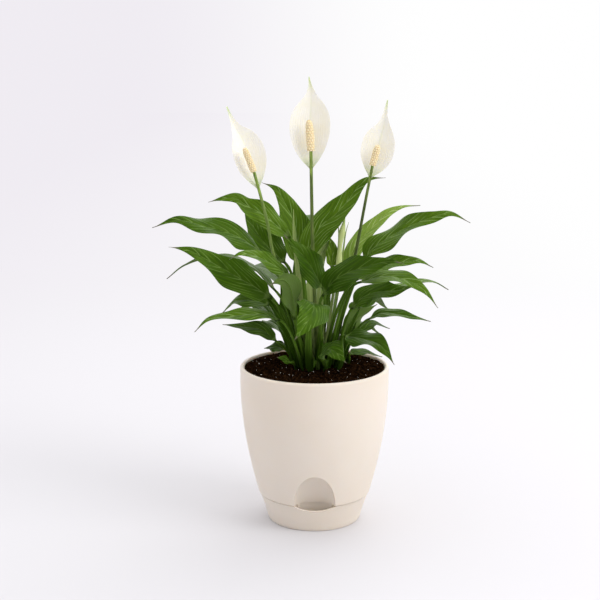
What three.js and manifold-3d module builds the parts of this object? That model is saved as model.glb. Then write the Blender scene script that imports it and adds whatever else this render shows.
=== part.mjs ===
// A potted peace lily: a clump of stalked leaves and three white flowers, growing in soil in a tapered
// self-watering pot that stands in its own water tray. Millimetres, +Z up. The origin is the centre of the
// tray's flat underside, and the front, -Y, is the side with the watering niche.
import * as THREE from "three";
import { mergeVertices } from "three/addons/utils/BufferGeometryUtils.js";
import Module from "manifold-3d";

const wasm = await Module();
wasm.setup();

// ---------------------------------------------------------------- driving dimensions

const ROUND_STEPS = 28; // facets round the pot, the tray and the soil
const WICK_STEPS = 20; // facets round the wick foot
const SEAT_GAP = 0.3; // clearance where two pieces touch

const RIM_HEIGHT = 160;
const RIM_RADIUS = 75;
const LIP_THICKNESS = 4;
const POT_WALL = 3;
const SEAM_HEIGHT = 29; // the pot's lower edge, which sits on the tray
const SEAM_RADIUS = 56.8;
const FLARE_HEIGHT = 115; // over this height the wall bends from the seam to upright
const FLARE_POWER = 1.85;
const FLOOR_HEIGHT = 32;
const FLOOR_THICKNESS = 3;
const SKIRT_RADIUS = 50;
const SKIRT_DEPTH = 4;
const WICK_TOP_RADIUS = 20;
const WICK_FOOT_RADIUS = 16;
const WICK_FOOT_HEIGHT = 5;
const WICK_WALL = 2;
const WICK_FLANGE_RADIUS = 25; // the foot hangs from the pot's floor by this flange
const SKIRT_WALL = 2.2;
const SLOT_WIDTH = 4;
const SLOT_HEIGHT = 12;
const DRAIN_HOLES = 6;
const DRAIN_RADIUS = 3;
const DRAIN_CIRCLE = 34;

const NICHE_HALF_WIDTH = 21;
const NICHE_RISE = 34.5;
const NICHE_DEPTH = 13;
const NICHE_WALL = 2.5;

const TRAY_RADIUS = 46.4;
const TRAY_RIM_RADIUS = 54.8;
const TRAY_WALL = 2.6;
const TRAY_CORNER = 1.6;
const SPOUT_HALF_WIDTH = 20;
const SPOUT_DIP = 4.4;

const SOIL_HEIGHT = 157.5;
const SOIL_MOUND = 1.6; // the soil is this much higher in the middle
const SOIL_RELIEF = 0.7;
const TOPSOIL_DEPTH = 15; // the loose layer on the root ball, deep enough for the stalks' feet
const ROOT_DEPTH = 12; // how far the stalks stand in the soil
const FOOT_CLEAR = 5; // stalks are straight up to this height above the soil
const FOOT_LEAN = 0.014; // outward lean of a stalk's foot for each millimetre from the middle

// ---------------------------------------------------------------- colours

const finish = (color, roughness) => new THREE.MeshStandardMaterial({ color, roughness, metalness: 0 });
const CREAM_PLASTIC = finish("#e9ddcc", 0.55);
const PEAT = finish("#2a1a14", 0.95);
const LEAF_GREEN = finish("#2f5a24", 0.45);
const STEM_GREEN = finish("#6d8f3a", 0.5);
const SPATHE_WHITE = finish("#f4f1e6", 0.6);
const SPADIX_CREAM = finish("#ecdca2", 0.8);
const BUD_GREEN = finish("#c9d59a", 0.55);

// ---------------------------------------------------------------- geometry helpers

const range = (count) => [...Array(count).keys()];
const vec = (x, y, z) => new THREE.Vector3(x, y, z);
const lerp = THREE.MathUtils.lerp;
const smoothstep = THREE.MathUtils.smoothstep;
const rad = THREE.MathUtils.degToRad;

function bufferGeometry(points, triangles) {
  const geometry = new THREE.BufferGeometry();
  geometry.setAttribute("position", new THREE.Float32BufferAttribute(points.flatMap((p) => [p.x, p.y, p.z]), 3));
  geometry.setIndex(triangles.flat());
  return geometry;
}

function toSolid(source) {
  const geometry = source.clone();
  geometry.deleteAttribute("normal");
  geometry.deleteAttribute("uv");
  const merged = mergeVertices(geometry, 1e-4);
  const vertProperties = merged.attributes.position.array;
  const triVerts = new Uint32Array(merged.index.array);
  return new wasm.Manifold(new wasm.Mesh({ numProp: 3, vertProperties, triVerts }));
}

function toGeometry(solid) {
  const mesh = solid.getMesh();
  const geometry = new THREE.BufferGeometry();
  geometry.setAttribute("position", new THREE.BufferAttribute(mesh.vertProperties.slice(), 3));
  geometry.setIndex([...mesh.triVerts]);
  return geometry;
}

// Closes a stack of equal rings into one body. The first half of each ring is the upper face and the second
// half the lower one, and both are split along the same diagonals, so that thin waved blades never cross.
function loft(rings) {
  const count = rings[0].length;
  const half = count / 2;
  const triangles = [];
  for (let row = 0; row + 1 < rings.length; row++)
    for (let k = 0; k < count; k++) {
      const [a, b] = [row * count + k, row * count + ((k + 1) % count)];
      const [c, d] = [a + count, b + count];
      if (k < half) triangles.push([a, b, d], [a, d, c]);
      else triangles.push([a, b, c], [b, d, c]);
    }
  const last = (rings.length - 1) * count;
  for (let k = 0; k + 1 < half; k++) {
    const under = count - 1 - k;
    triangles.push([k, under, k + 1], [k + 1, under, under - 1]);
    triangles.push([last + k, last + k + 1, last + under], [last + k + 1, last + under - 1, last + under]);
  }
  return bufferGeometry(rings.flat(), triangles);
}

// Turns a closed profile of [radius, height] pairs about the Z axis.
function turned(profile, steps = ROUND_STEPS) {
  const outline = profile.map(([radius, height]) => new THREE.Vector2(radius, height));
  return toSolid(new THREE.LatheGeometry(outline, steps).rotateX(Math.PI / 2).rotateZ(Math.PI / 2));
}

// ---------------------------------------------------------------- pot, tray and soil

const potRadius = (z) => {
  const down = Math.max(0, 1 - (z - SEAM_HEIGHT) / FLARE_HEIGHT);
  return RIM_RADIUS - (RIM_RADIUS - SEAM_RADIUS) * down ** FLARE_POWER;
};
const trayRadius = (z) => TRAY_RADIUS + (TRAY_RIM_RADIUS - TRAY_RADIUS) * (z / SEAM_HEIGHT) ** 0.8;
const OUTER_HEIGHTS = [31, 43, 58, 76, 100, 132];
const INNER_HEIGHTS = [40, 68, 110];
const FLOOR_TOP = FLOOR_HEIGHT + FLOOR_THICKNESS;
const FLANGE_TOP = FLOOR_TOP + SEAT_GAP + WICK_WALL;
const LIP_MIDDLE = RIM_RADIUS - LIP_THICKNESS / 2;
const LIP_CENTRE = RIM_HEIGHT - LIP_THICKNESS / 2;

// The lip's half circle, from the outside over the top to the inside.
const lipArc = range(5).map((i) => {
  const turn = (i / 4) * Math.PI;
  return [LIP_MIDDLE + (LIP_THICKNESS / 2) * Math.cos(turn), LIP_CENTRE + (LIP_THICKNESS / 2) * Math.sin(turn)];
});

const outerWall = OUTER_HEIGHTS.map((z) => [potRadius(z), z]);

// The pot's inside above its floor, drawn in by `gap` for what stands in it.
const innerWall = (gap) => [
  [potRadius(FLOOR_TOP) - POT_WALL - 2 - gap, FLOOR_TOP + gap],
  ...INNER_HEIGHTS.map((z) => [potRadius(z) - POT_WALL - gap, z]),
];

// The wick foot's inside from its bottom to the top of its flange, drawn in by `gap`.
const wickInside = (gap) => [
  [0, WICK_FOOT_HEIGHT + WICK_WALL + gap],
  [WICK_FOOT_RADIUS - WICK_WALL - gap, WICK_FOOT_HEIGHT + WICK_WALL + gap],
  [WICK_TOP_RADIUS - WICK_WALL - gap, FLANGE_TOP],
];

// The arched scoop in the front wall that water is poured into, grown outwards by `grow` for its own wall.
function nicheSolid(grow) {
  const section = (tilt, z) => {
    const width = NICHE_HALF_WIDTH * Math.cos(tilt) + grow;
    const depth = NICHE_DEPTH * Math.cos(tilt) ** 1.2 + 0.8 + grow;
    const wall = potRadius(Math.max(z, SEAM_HEIGHT));
    const back = range(11).map((i) => {
      const turn = (i / 10) * Math.PI;
      return vec(width * Math.cos(turn), depth * Math.sin(turn) - wall + 1, z);
    });
    return [...back, vec(-width, -wall - 10, z), vec(0, -wall - 10, z), vec(width, -wall - 10, z)];
  };
  const rise = NICHE_RISE + grow;
  const upper = range(9).map((i) => {
    const tilt = rad(84) * (i / 8);
    return section(tilt, SEAM_HEIGHT + rise * Math.sin(tilt));
  });
  return toSolid(loft([section(0, SEAM_HEIGHT - SKIRT_DEPTH - 6), ...upper]));
}

// One turned shell: floor, skirt, wall, lip and inside, with the niche and the holes in the floor cut in it.
function potSolid() {
  const hole = WICK_TOP_RADIUS + SEAT_GAP;
  const shell = turned([
    [hole, FLOOR_HEIGHT],
    [SKIRT_RADIUS - SKIRT_WALL, FLOOR_HEIGHT],
    [SKIRT_RADIUS - SKIRT_WALL, SEAM_HEIGHT - SKIRT_DEPTH],
    [SKIRT_RADIUS, SEAM_HEIGHT - SKIRT_DEPTH],
    [SKIRT_RADIUS + 0.8, SEAM_HEIGHT],
    [SEAM_RADIUS - 1, SEAM_HEIGHT],
    ...outerWall,
    ...lipArc,
    ...innerWall(0).reverse(),
    [hole, FLOOR_TOP],
    [hole, FLOOR_HEIGHT],
  ]);
  const skin = turned([[0, SEAM_HEIGHT], [SEAM_RADIUS - 1, SEAM_HEIGHT], ...outerWall, [0, OUTER_HEIGHTS.at(-1)]]);
  const drainHoles = range(DRAIN_HOLES).map((i) => {
    const turn = (2 * Math.PI * i) / DRAIN_HOLES;
    const drill = new THREE.CylinderGeometry(DRAIN_RADIUS, DRAIN_RADIUS, 4 * FLOOR_THICKNESS, 6).rotateX(Math.PI / 2);
    return toSolid(drill.translate(DRAIN_CIRCLE * Math.cos(turn), DRAIN_CIRCLE * Math.sin(turn), FLOOR_HEIGHT));
  });
  const withNicheWall = shell.add(nicheSolid(NICHE_WALL).intersect(skin));
  return [nicheSolid(0), ...drainHoles].reduce((pot, cutter) => pot.subtract(cutter), withNicheWall);
}

// The slotted cup that hangs through the pot's floor and keeps some soil in the tray's water.
function wickFootSolid() {
  const cup = turned([
    [0, WICK_FOOT_HEIGHT],
    [WICK_FOOT_RADIUS, WICK_FOOT_HEIGHT],
    [WICK_TOP_RADIUS, FLOOR_HEIGHT],
    [WICK_TOP_RADIUS, FLOOR_TOP + SEAT_GAP],
    [WICK_FLANGE_RADIUS, FLOOR_TOP + SEAT_GAP],
    [WICK_FLANGE_RADIUS, FLANGE_TOP],
    ...wickInside(0).reverse(),
  ], WICK_STEPS);
  const slotBar = new THREE.BoxGeometry(2.4 * WICK_TOP_RADIUS, SLOT_WIDTH, SLOT_HEIGHT);
  const slotMiddle = WICK_FOOT_HEIGHT + WICK_WALL + SLOT_HEIGHT / 2 + 1;
  const slots = [45, 135].map((turn) => toSolid(slotBar.clone().rotateZ(rad(turn)).translate(0, 0, slotMiddle)));
  return slots.reduce((foot, slot) => foot.subtract(slot), cup);
}

function traySolid() {
  const top = SEAM_HEIGHT - SEAT_GAP;
  const heights = [TRAY_CORNER, 8, 15, 22, top];
  const tray = turned([
    [0, 0],
    [TRAY_RADIUS - TRAY_CORNER, 0],
    [TRAY_RADIUS - 0.3 * TRAY_CORNER, 0.3 * TRAY_CORNER],
    ...heights.map((z) => [trayRadius(z), z]),
    [TRAY_RIM_RADIUS - TRAY_WALL, top],
    ...[22, 12, 5].map((z) => [trayRadius(z) - TRAY_WALL, z]),
    [TRAY_RADIUS - 5, TRAY_WALL],
    [0, TRAY_WALL],
  ]);
  const dip = new THREE.Shape();
  const bend = (SPOUT_HALF_WIDTH ** 2 + SPOUT_DIP ** 2) / (2 * SPOUT_DIP);
  const reach = Math.asin(SPOUT_HALF_WIDTH / bend);
  dip.absarc(0, bend - SPOUT_DIP, bend, -Math.PI / 2 - reach, -Math.PI / 2 + reach);
  dip.lineTo(SPOUT_HALF_WIDTH, 5);
  dip.lineTo(-SPOUT_HALF_WIDTH, 5);
  const spout = new THREE.ExtrudeGeometry(dip, { depth: 30, bevelEnabled: false, curveSegments: 12 });
  return tray.subtract(toSolid(spout.rotateX(Math.PI / 2).translate(0, -TRAY_RADIUS + 8, top)));
}

const wickSoilSolid = () => turned([...wickInside(SEAT_GAP), [0, FLANGE_TOP]], WICK_STEPS);

// What fills the pot above its floor, between the heights `low` and `high`.
function fillingSolid(low, high) {
  const filling = turned([
    [0, FLANGE_TOP + SEAT_GAP],
    [WICK_FLANGE_RADIUS + SEAT_GAP, FLANGE_TOP + SEAT_GAP],
    [WICK_FLANGE_RADIUS + SEAT_GAP, FLOOR_TOP + SEAT_GAP],
    ...innerWall(SEAT_GAP),
    [LIP_MIDDLE - LIP_THICKNESS / 2 - SEAT_GAP, RIM_HEIGHT],
    [0, RIM_HEIGHT],
  ]);
  const layer = new THREE.CylinderGeometry(RIM_RADIUS, RIM_RADIUS, high - low, ROUND_STEPS);
  return filling.intersect(toSolid(layer.rotateX(Math.PI / 2).translate(0, 0, (low + high) / 2)));
}

function rootBallSolid() {
  const ball = fillingSolid(FLOOR_HEIGHT, SOIL_HEIGHT - TOPSOIL_DEPTH - SEAT_GAP);
  return ball.subtract(nicheSolid(NICHE_WALL + SEAT_GAP));
}

const soilLevel = (x, y) => {
  const out = Math.hypot(x, y) / RIM_RADIUS;
  const ripple = Math.sin(x * 0.31 + 1.3) * Math.cos(y * 0.27) + 0.6 * Math.sin((x + 2 * y) * 0.17);
  return SOIL_HEIGHT + SOIL_MOUND * (1 - out * out) + SOIL_RELIEF * ripple;
};

// The layer of soil on the root ball, with a plain hole for each stalk.
function soilSolid(sockets) {
  const radii = [0.25, 0.5, 0.75, 1].map((share) => share * (RIM_RADIUS + 5));
  const turns = range(16).map((i) => (i / 16) * 2 * Math.PI);
  const disc = (level) => [
    vec(0, 0, level(0, 0)),
    ...radii.flatMap((r) => turns.map((a) => [r * Math.cos(a), r * Math.sin(a)]).map(([x, y]) => vec(x, y, level(x, y)))),
  ];
  const count = turns.length;
  const spokes = range(count).map((k) => [k, (k + 1) % count]);
  const fan = spokes.map(([k, next]) => [0, 1 + k, 1 + next]);
  const bands = range(radii.length - 1).flatMap((row) =>
    spokes.flatMap(([k, next]) => {
      const [a, b] = [1 + row * count + k, 1 + row * count + next];
      return [[a, a + count, b], [b, a + count, b + count]];
    }),
  );
  const lower = [...fan, ...bands];
  const size = 1 + radii.length * count;
  const edge = size - count;
  const rim = spokes.flatMap(([k, next]) => {
    const [a, b] = [edge + k, edge + next];
    return [[a, a + size, b], [b, a + size, b + size]];
  });
  const faces = [
    ...lower.map(([a, b, c]) => [a, c, b]),
    ...lower.map(([a, b, c]) => [a + size, b + size, c + size]),
    ...rim.map(([a, b, c]) => [a, c, b]),
  ];
  const above = toSolid(bufferGeometry([...disc(soilLevel), ...disc(() => RIM_HEIGHT + 20)], faces));
  const layer = fillingSolid(SOIL_HEIGHT - TOPSOIL_DEPTH, RIM_HEIGHT);
  return [above, ...sockets].reduce((soil, cutter) => soil.subtract(cutter), layer);
}

// ---------------------------------------------------------------- stems and blades

// Stalks stand in the soil on rings: [ring, place] with the places counted anticlockwise from +X.
const FOOT_RINGS = [
  { radius: 0, places: 1 },
  { radius: 6.4, places: 6 },
  { radius: 12.8, places: 12 },
  { radius: 19.2, places: 18 },
  { radius: 25.6, places: 24 },
];
const CLUMP_CENTRE = [3, 10]; // the plant stands a little off the pot's axis

// Where a stalk stands: its end in the soil, the point where it is clear of it, and its first direction,
// which leans outwards more on the outer rings.
function footing([ring, place]) {
  const { radius, places } = FOOT_RINGS[ring];
  const turn = (place / places) * 2 * Math.PI;
  const [outX, outY] = [radius * Math.cos(turn), radius * Math.sin(turn)];
  const foot = vec(CLUMP_CENTRE[0] + outX, CLUMP_CENTRE[1] + outY, SOIL_HEIGHT - ROOT_DEPTH);
  const rise = vec(FOOT_LEAN * outX, FOOT_LEAN * outY, 1).normalize();
  return { foot, surface: foot.clone().addScaledVector(rise, ROOT_DEPTH + FOOT_CLEAR), rise };
}

// Square frames along a line of points, carried without twist from the point `anchor`, where `up` is given.
function framesAlong(points, anchor, up) {
  const along = points.map((_, i) => {
    const [before, after] = [points[Math.max(i - 1, 0)], points[Math.min(i + 1, points.length - 1)]];
    return after.clone().sub(before).normalize();
  });
  const square = (normal, i) => normal.clone().addScaledVector(along[i], -normal.dot(along[i])).normalize();
  const normals = [];
  normals[anchor] = square(up, anchor);
  for (let i = anchor + 1; i < points.length; i++) normals[i] = square(normals[i - 1], i);
  for (let i = anchor - 1; i >= 0; i--) normals[i] = square(normals[i + 1], i);
  return points.map((point, i) => ({
    point,
    normal: normals[i],
    side: normals[i].clone().cross(along[i]),
  }));
}

// A smooth line through the points.
const smoothLine = (points) => new THREE.CatmullRomCurve3(points.map((p) => vec(...p)), false, "centripetal");

const placed = ({ point, normal, side }, x, y) => point.clone().addScaledVector(side, x).addScaledVector(normal, y);
const decagon = (radius) => range(10).map((k) => rad(18 + 36 * k)).map((a) => [radius * Math.cos(a), radius * Math.sin(a)]);
const roundRing = (frame, radius) => decagon(radius).map(([x, y]) => placed(frame, x, y));

const ACROSS = [1, 0.5, 0, -0.5, -1]; // places across a blade, from margin to margin
const BLADE_THICKNESS = 0.9;
const LEAF_STATIONS = [0.07, 0.2, 0.34, 0.48, 0.62, 0.76, 0.88, 1];
const SMALL_STATIONS = [0.1, 0.3, 0.52, 0.76, 1];
const STALK_SHARES = [0.5, 0.8];
const SMALL_WIDTH = 19; // leaves narrower than this have fewer stations
const FULL_WIDTH = 34; // leaves at least this wide have full-size stalks
const STALK_FOOT_RADIUS = 2.2;
const STALK_TOP_RADIUS = 1.4;

// Width at share `t` of the blade, 1 at its widest: pointed at both ends, with a long drip tip.
const leafOutline = (t) => (t ** 0.8 * (1 - t) ** 1.6) / 0.217;

// One ring of a blade at share `t` of its length. The halves rise from the midrib and arch over, the margins
// wave, and a midrib stands out below.
function bladeRing(frame, t, leaf, stalk) {
  const half = Math.max((leaf.width / 2) * leafOutline(t), 0.5);
  const join = smoothstep(t, 0, 0.12);
  const envelope = leafOutline(t) * leaf.wave;
  const rib = 0.5 + 1.3 * (1 - t) ** 1.3;
  const upper = ACROSS.map((u) => {
    const margin = Math.sin(2 * Math.PI * leaf.waves * t + leaf.phase + (u < 0 ? leaf.lag : 0));
    const rise = half * (leaf.fold * Math.abs(u) - leaf.arch * u * u) + envelope * u * u * margin;
    return [half * u, rise];
  });
  const lower = upper.map(([x, y], k) => [x, y - BLADE_THICKNESS - (k === 2 ? rib : 0)]).reverse();
  const circle = decagon(stalk);
  return [...upper, ...lower].map(([x, y], k) => placed(frame, lerp(circle[k][0], x, join), lerp(circle[k][1], y, join)));
}

const LEAF_DEFAULTS = { faces: [0, 0, 1], wave: 2.2, waves: 2, phase: 0, lag: 1.4, fold: 0.34, arch: 0.22 };

// A leaf grows from its foot in the soil up a stalk to the first point of `path`, where the blade starts, and
// along the path's other points to the drip tip. Its upper face looks along `faces` at mid-blade.
function leafShape(row) {
  const leaf = { ...LEAF_DEFAULTS, ...row };
  const midrib = smoothLine(leaf.path);
  const joint = midrib.getPoint(0);
  const { foot, surface, rise } = footing(leaf.foot);
  const reach = joint.distanceTo(surface);
  const lift = surface.clone().addScaledVector(rise, 0.4 * reach);
  const ease = joint.clone().addScaledVector(midrib.getTangent(0), -0.18 * reach);
  const stalk = new THREE.CubicBezierCurve3(surface, lift, ease, joint);
  const stations = leaf.width < SMALL_WIDTH ? SMALL_STATIONS : LEAF_STATIONS;
  const stalkPoints = [foot, surface, ...STALK_SHARES.map((s) => stalk.getPointAt(s)), joint];
  const points = [...stalkPoints, ...stations.map((t) => midrib.getPointAt(t))];
  const anchor = stalkPoints.length + Math.floor(stations.length / 2) - 1;
  const frames = framesAlong(points, anchor, vec(...leaf.faces));
  const scale = lerp(0.6, 1, Math.min(1, leaf.width / FULL_WIDTH));
  const [footRadius, topRadius] = [STALK_FOOT_RADIUS * scale, STALK_TOP_RADIUS * scale];
  const rings = frames.map((frame, i) => {
    const t = i < stalkPoints.length ? 0 : stations[i - stalkPoints.length];
    if (t > 0) return bladeRing(frame, t, leaf, topRadius);
    return roundRing(frame, lerp(footRadius, topRadius, Math.max(0, i - 1) / (stalkPoints.length - 2)));
  });
  return { geometry: loft(rings), socket: socketSolid(frames, footRadius) };
}

// The six-sided hole that a stalk's straight foot stands in.
function socketSolid(frames, radius) {
  const [low, high] = [frames[0].point, frames[1].point];
  const along = high.clone().sub(low).normalize();
  const sides = 6;
  const clear = (radius + SEAT_GAP) / Math.cos(Math.PI / sides);
  const corners = range(sides).map((k) => ((k + 0.5) / sides) * 2 * Math.PI);
  const ring = (point) => corners.map((a) => placed({ ...frames[0], point }, clear * Math.cos(a), clear * Math.sin(a)));
  return toSolid(loft([ring(low.clone().addScaledVector(along, -SEAT_GAP)), ring(high)]));
}

// ---------------------------------------------------------------- the leaves, place by place

const LEAVES = {
  // left side, from the top down
  leaf_left_1: {
    foot: [2, 7], width: 25, faces: [-0.1, -0.7, 0.7], phase: 2.2,
    path: [[-52, -6, 276], [-75, -14, 293], [-107, -26, 305], [-132, -34, 312], [-156, -42, 306]],
  },
  leaf_left_2: {
    foot: [2, 8], width: 24, faces: [-0.1, -0.8, 0.6], phase: 0.5,
    path: [
      [-24, 2, 289], [-37, -2, 302], [-53, -6, 315], [-67, -8, 323],
      [-76, -10, 330], [-91, -12, 330], [-104, -14, 327],
    ],
  },
  leaf_left_3: {
    foot: [3, 10], width: 31, faces: [-0.1, -0.85, 0.5],
    path: [[-52, -20, 239], [-74, -34, 255], [-105, -50, 277], [-121, -58, 287], [-138, -66, 291]],
  },
  leaf_left_4: {
    foot: [2, 6], width: 24, faces: [0.1, 0.1, 1],
    path: [[-38, 10, 233], [-63, 24, 257], [-102, 40, 264], [-134, 50, 254], [-154, 58, 238]],
  },
  leaf_left_5: {
    foot: [3, 11], width: 21, faces: [-0.1, -0.7, 0.7],
    path: [
      [-23, -28, 253], [-32, -38, 264], [-45, -50, 274],
      [-58, -60, 282], [-71, -68, 285], [-81, -72, 280],
    ],
  },
  leaf_left_6: {
    foot: [3, 12], width: 26, faces: [-0.4, -0.5, 0.8],
    path: [[-23, -34, 224], [-23, -48, 246], [-30, -64, 260], [-43, -80, 257]],
  },
  leaf_left_7: {
    foot: [3, 8], width: 20, faces: [-0.1, -0.6, 0.8],
    path: [[-45, 12, 219], [-60, 20, 222], [-80, 30, 220], [-95, 38, 206]],
  },
  leaf_left_8: {
    foot: [4, 16], width: 18, faces: [0, -0.5, 0.87],
    path: [[-34, -28, 212], [-52, -40, 221], [-80, -54, 222], [-102, -64, 221], [-115, -70, 210]],
  },
  leaf_left_9: {
    foot: [3, 9], width: 17, faces: [0, -0.7, 0.7],
    path: [[-38, 8, 182], [-53, 18, 192], [-73, 30, 193], [-95, 40, 193]],
  },
  leaf_left_10: {
    foot: [4, 10], width: 15, faces: [0, -0.7, 0.7],
    path: [[-30, 16, 172], [-39, 24, 173], [-52, 34, 169]],
  },
  leaf_left_11: {
    foot: [4, 15], width: 9, faces: [0, -0.7, 0.7],
    path: [[-25, -26, 169], [-30, -29, 173], [-37, -33, 176]],
  },
  leaf_left_12: {
    foot: [1, 3], width: 20, faces: [-0.2, -0.9, 0.3],
    path: [[-17, 12, 194], [-27, 12, 222], [-35, 12, 247]],
  },
  // middle
  leaf_middle_1: {
    foot: [4, 17], width: 34, faces: [0.2, -0.75, 0.6],
    path: [[-3, -46, 233], [-1, -60, 233], [-4, -75, 227], [-12, -86, 217], [-20, -92, 207]],
  },
  leaf_middle_2: {
    foot: [4, 19], width: 24, faces: [0.1, -0.8, 0.6],
    path: [[5, -42, 179], [15, -52, 189], [30, -64, 178]],
  },
  leaf_middle_3: {
    foot: [2, 9], width: 28, faces: [0.3, -0.85, 0.4],
    path: [[8, -22, 243], [-7, -36, 272], [-30, -46, 300]],
  },
  leaf_middle_4: {
    foot: [1, 2], width: 29, faces: [-0.2, -0.9, 0.4],
    path: [
      [-12, 8, 262], [6, 7, 300], [20, 6, 312], [32, 6, 325],
      [42, 6, 339], [52, 5, 347], [70, 4, 349],
    ],
  },
  leaf_middle_5: {
    foot: [2, 4], width: 32, faces: [0.2, -0.9, 0.4],
    path: [[-12, 14, 257], [-16, 18, 277], [-21, 24, 302], [-30, 28, 322], [-39, 32, 335], [-53, 34, 341]],
  },
  leaf_middle_6: {
    foot: [2, 5], width: 32, faces: [0.3, -0.9, 0.3],
    path: [[-29, 16, 261], [-53, 30, 283], [-73, 44, 315]],
  },
  leaf_middle_7: {
    foot: [1, 1], width: 14, faces: [0.2, -0.9, 0.2],
    path: [[17, 8, 258], [18, 12, 276], [14, 16, 291]],
  },
  // right side, from the top down
  leaf_right_1: {
    foot: [2, 11], width: 25, faces: [-0.2, -0.7, 0.7],
    path: [
      [47, -8, 263], [54, -13, 278], [67, -20, 290], [84, -28, 302],
      [97, -34, 309], [112, -40, 316], [128, -46, 320], [147, -52, 312],
    ],
  },
  leaf_right_2: {
    foot: [2, 1], width: 19, faces: [-0.4, -0.8, 0.4],
    path: [
      [32, 14, 240], [35, 18, 260], [40, 22, 276], [49, 27, 287],
      [64, 33, 300], [75, 38, 310], [89, 44, 315], [109, 50, 316],
    ],
  },
  leaf_right_3: {
    foot: [3, 14], width: 29, faces: [-0.1, -0.85, 0.5],
    path: [[7, -38, 238], [16, -46, 253], [28, -54, 263], [50, -66, 273], [68, -76, 279], [82, -82, 278]],
  },
  leaf_right_4: {
    foot: [2, 10], width: 22, faces: [0, -0.6, 0.8],
    path: [[40, -18, 250], [63, -26, 265], [84, -32, 271], [99, -36, 273], [114, -40, 267]],
  },
  leaf_right_5: {
    foot: [3, 15], width: 21, faces: [0.1, -0.65, 0.75],
    path: [[41, -46, 253], [66, -64, 263], [84, -78, 262], [100, -90, 255], [113, -98, 239]],
  },
  leaf_right_6: {
    foot: [3, 1], width: 18, faces: [0, -0.1, 1],
    path: [[60, 14, 232], [82, 24, 236], [101, 32, 238], [123, 42, 238], [140, 50, 228]],
  },
  leaf_right_7: {
    foot: [3, 16], width: 27, faces: [0, -0.75, 0.65],
    path: [[36, -26, 223], [45, -32, 235], [58, -42, 243], [75, -54, 247], [96, -66, 254]],
  },
  leaf_right_8: {
    foot: [3, 0], width: 24, faces: [0, 0.7, 0.7],
    path: [[28, -2, 186], [42, 0, 208], [63, 8, 221]],
  },
  leaf_right_9: {
    foot: [3, 17], width: 15, faces: [0, -0.45, 0.9],
    path: [[53, -14, 210], [66, -20, 218], [85, -28, 218], [113, -36, 213]],
  },
  leaf_right_10: {
    foot: [4, 2], width: 13, faces: [0, -0.4, 0.9],
    path: [[43, 18, 188], [60, 30, 196], [79, 44, 188]],
  },
  leaf_right_11: {
    foot: [4, 21], width: 25, faces: [0.2, -0.65, 0.75],
    path: [[29, -34, 198], [45, -50, 199], [62, -64, 196], [75, -78, 180]],
  },
  leaf_right_12: {
    foot: [4, 0], width: 12, faces: [0, -0.5, 0.85],
    path: [[36, 8, 169], [48, 20, 169], [71, 34, 160]],
  },
  // at the back, hidden from the front
  leaf_back_1: {
    foot: [2, 3], width: 36,
    path: [[-4, 36, 258], [-10, 72, 290], [-18, 112, 296], [-24, 146, 276]],
  },
  leaf_back_2: {
    foot: [3, 3], width: 32,
    path: [[18, 40, 232], [38, 72, 250], [58, 102, 246], [74, 130, 222]],
  },
  leaf_back_3: {
    foot: [3, 6], width: 32,
    path: [[-24, 38, 228], [-48, 68, 246], [-72, 96, 242], [-92, 120, 218]],
  },
  leaf_back_4: { foot: [4, 3], width: 24, path: [[38, 34, 205], [58, 58, 216], [82, 88, 198]] },
  leaf_back_5: { foot: [3, 7], width: 24, path: [[-38, 28, 198], [-58, 54, 212], [-84, 84, 198]] },
  leaf_back_6: { foot: [3, 4], width: 24, path: [[8, 42, 196], [3, 50, 222], [-2, 58, 250]] },
  leaf_back_7: { foot: [3, 5], width: 22, path: [[-14, 48, 200], [-17, 54, 232], [-21, 60, 260]] },
  leaf_back_8: { foot: [4, 4], width: 22, path: [[28, 42, 180], [48, 58, 190], [74, 80, 172]] },
  leaf_back_9: { foot: [4, 8], width: 22, path: [[-28, 44, 180], [-44, 56, 192], [-62, 72, 186]] },
};

// ---------------------------------------------------------------- the flowers

// A spathe's base clasps the back of its stem at the share `seat` of the stem's length. Its `widths` are
// taken at equal steps from there to its tip.
const FLOWERS = {
  left: {
    foot: [1, 4], stem: [[-41, -14, 277], [-46, -16, 305], [-52, -17, 330]],
    spadix: [[-59, -20, 357], [-68, -22, 380]], stemRadius: 1.45, spadixRadius: 3,
    seat: 0.915, spathe: [[-61, -11, 358], [-66, -9, 377], [-71, -8, 389], [-77, -9, 399], [-85, -14, 419]],
    widths: [2, 15, 25, 30, 32, 30.5, 25, 14, 6.5, 3.5, 1.2], faces: [0.25, -0.95, 0.1],
  },
  middle: {
    foot: [0, 0], stem: [[-2, -6, 281], [-3, -6, 322]],
    spadix: [[-4, -8, 376], [-6, -9, 406]], stemRadius: 1.6, spadixRadius: 3.8,
    seat: 0.915, spathe: [[-5, 0, 379], [-5, 2, 399], [-4, 2, 417], [-4, 0, 432], [-6, -4, 447]],
    widths: [2, 17.5, 28.5, 35, 39, 39.5, 36.5, 27.5, 12.5, 4, 1.2], faces: [0, -1, 0.1],
  },
  right: {
    foot: [2, 0], stem: [[40, -3, 272], [50, -6, 329]],
    spadix: [[56, -8, 362], [61, -10, 382]], stemRadius: 1.4, spadixRadius: 3.2,
    seat: 0.94, spathe: [[59, -1, 366], [63, 0, 384], [67, -1, 401], [68, -3, 411], [70, -6, 425]],
    widths: [3, 17, 27, 32, 32.5, 30.5, 23, 12, 5.5, 3, 1.2], faces: [-0.1, -1, 0.1],
  },
};

// The half-open bud: a pale spathe still rolled round its spadix. Its `radii` run from the soil to the tip.
const BUD = {
  foot: [1, 0], path: [[23, 4, 241], [24, 6, 258], [25, 6, 274], [26, 6, 287], [30, 6, 309]],
  radii: [1.8, 1.5, 1.4, 1.3, 1.3, 1.4, 2.2, 3, 2, 3.2, 0.5],
};

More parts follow.
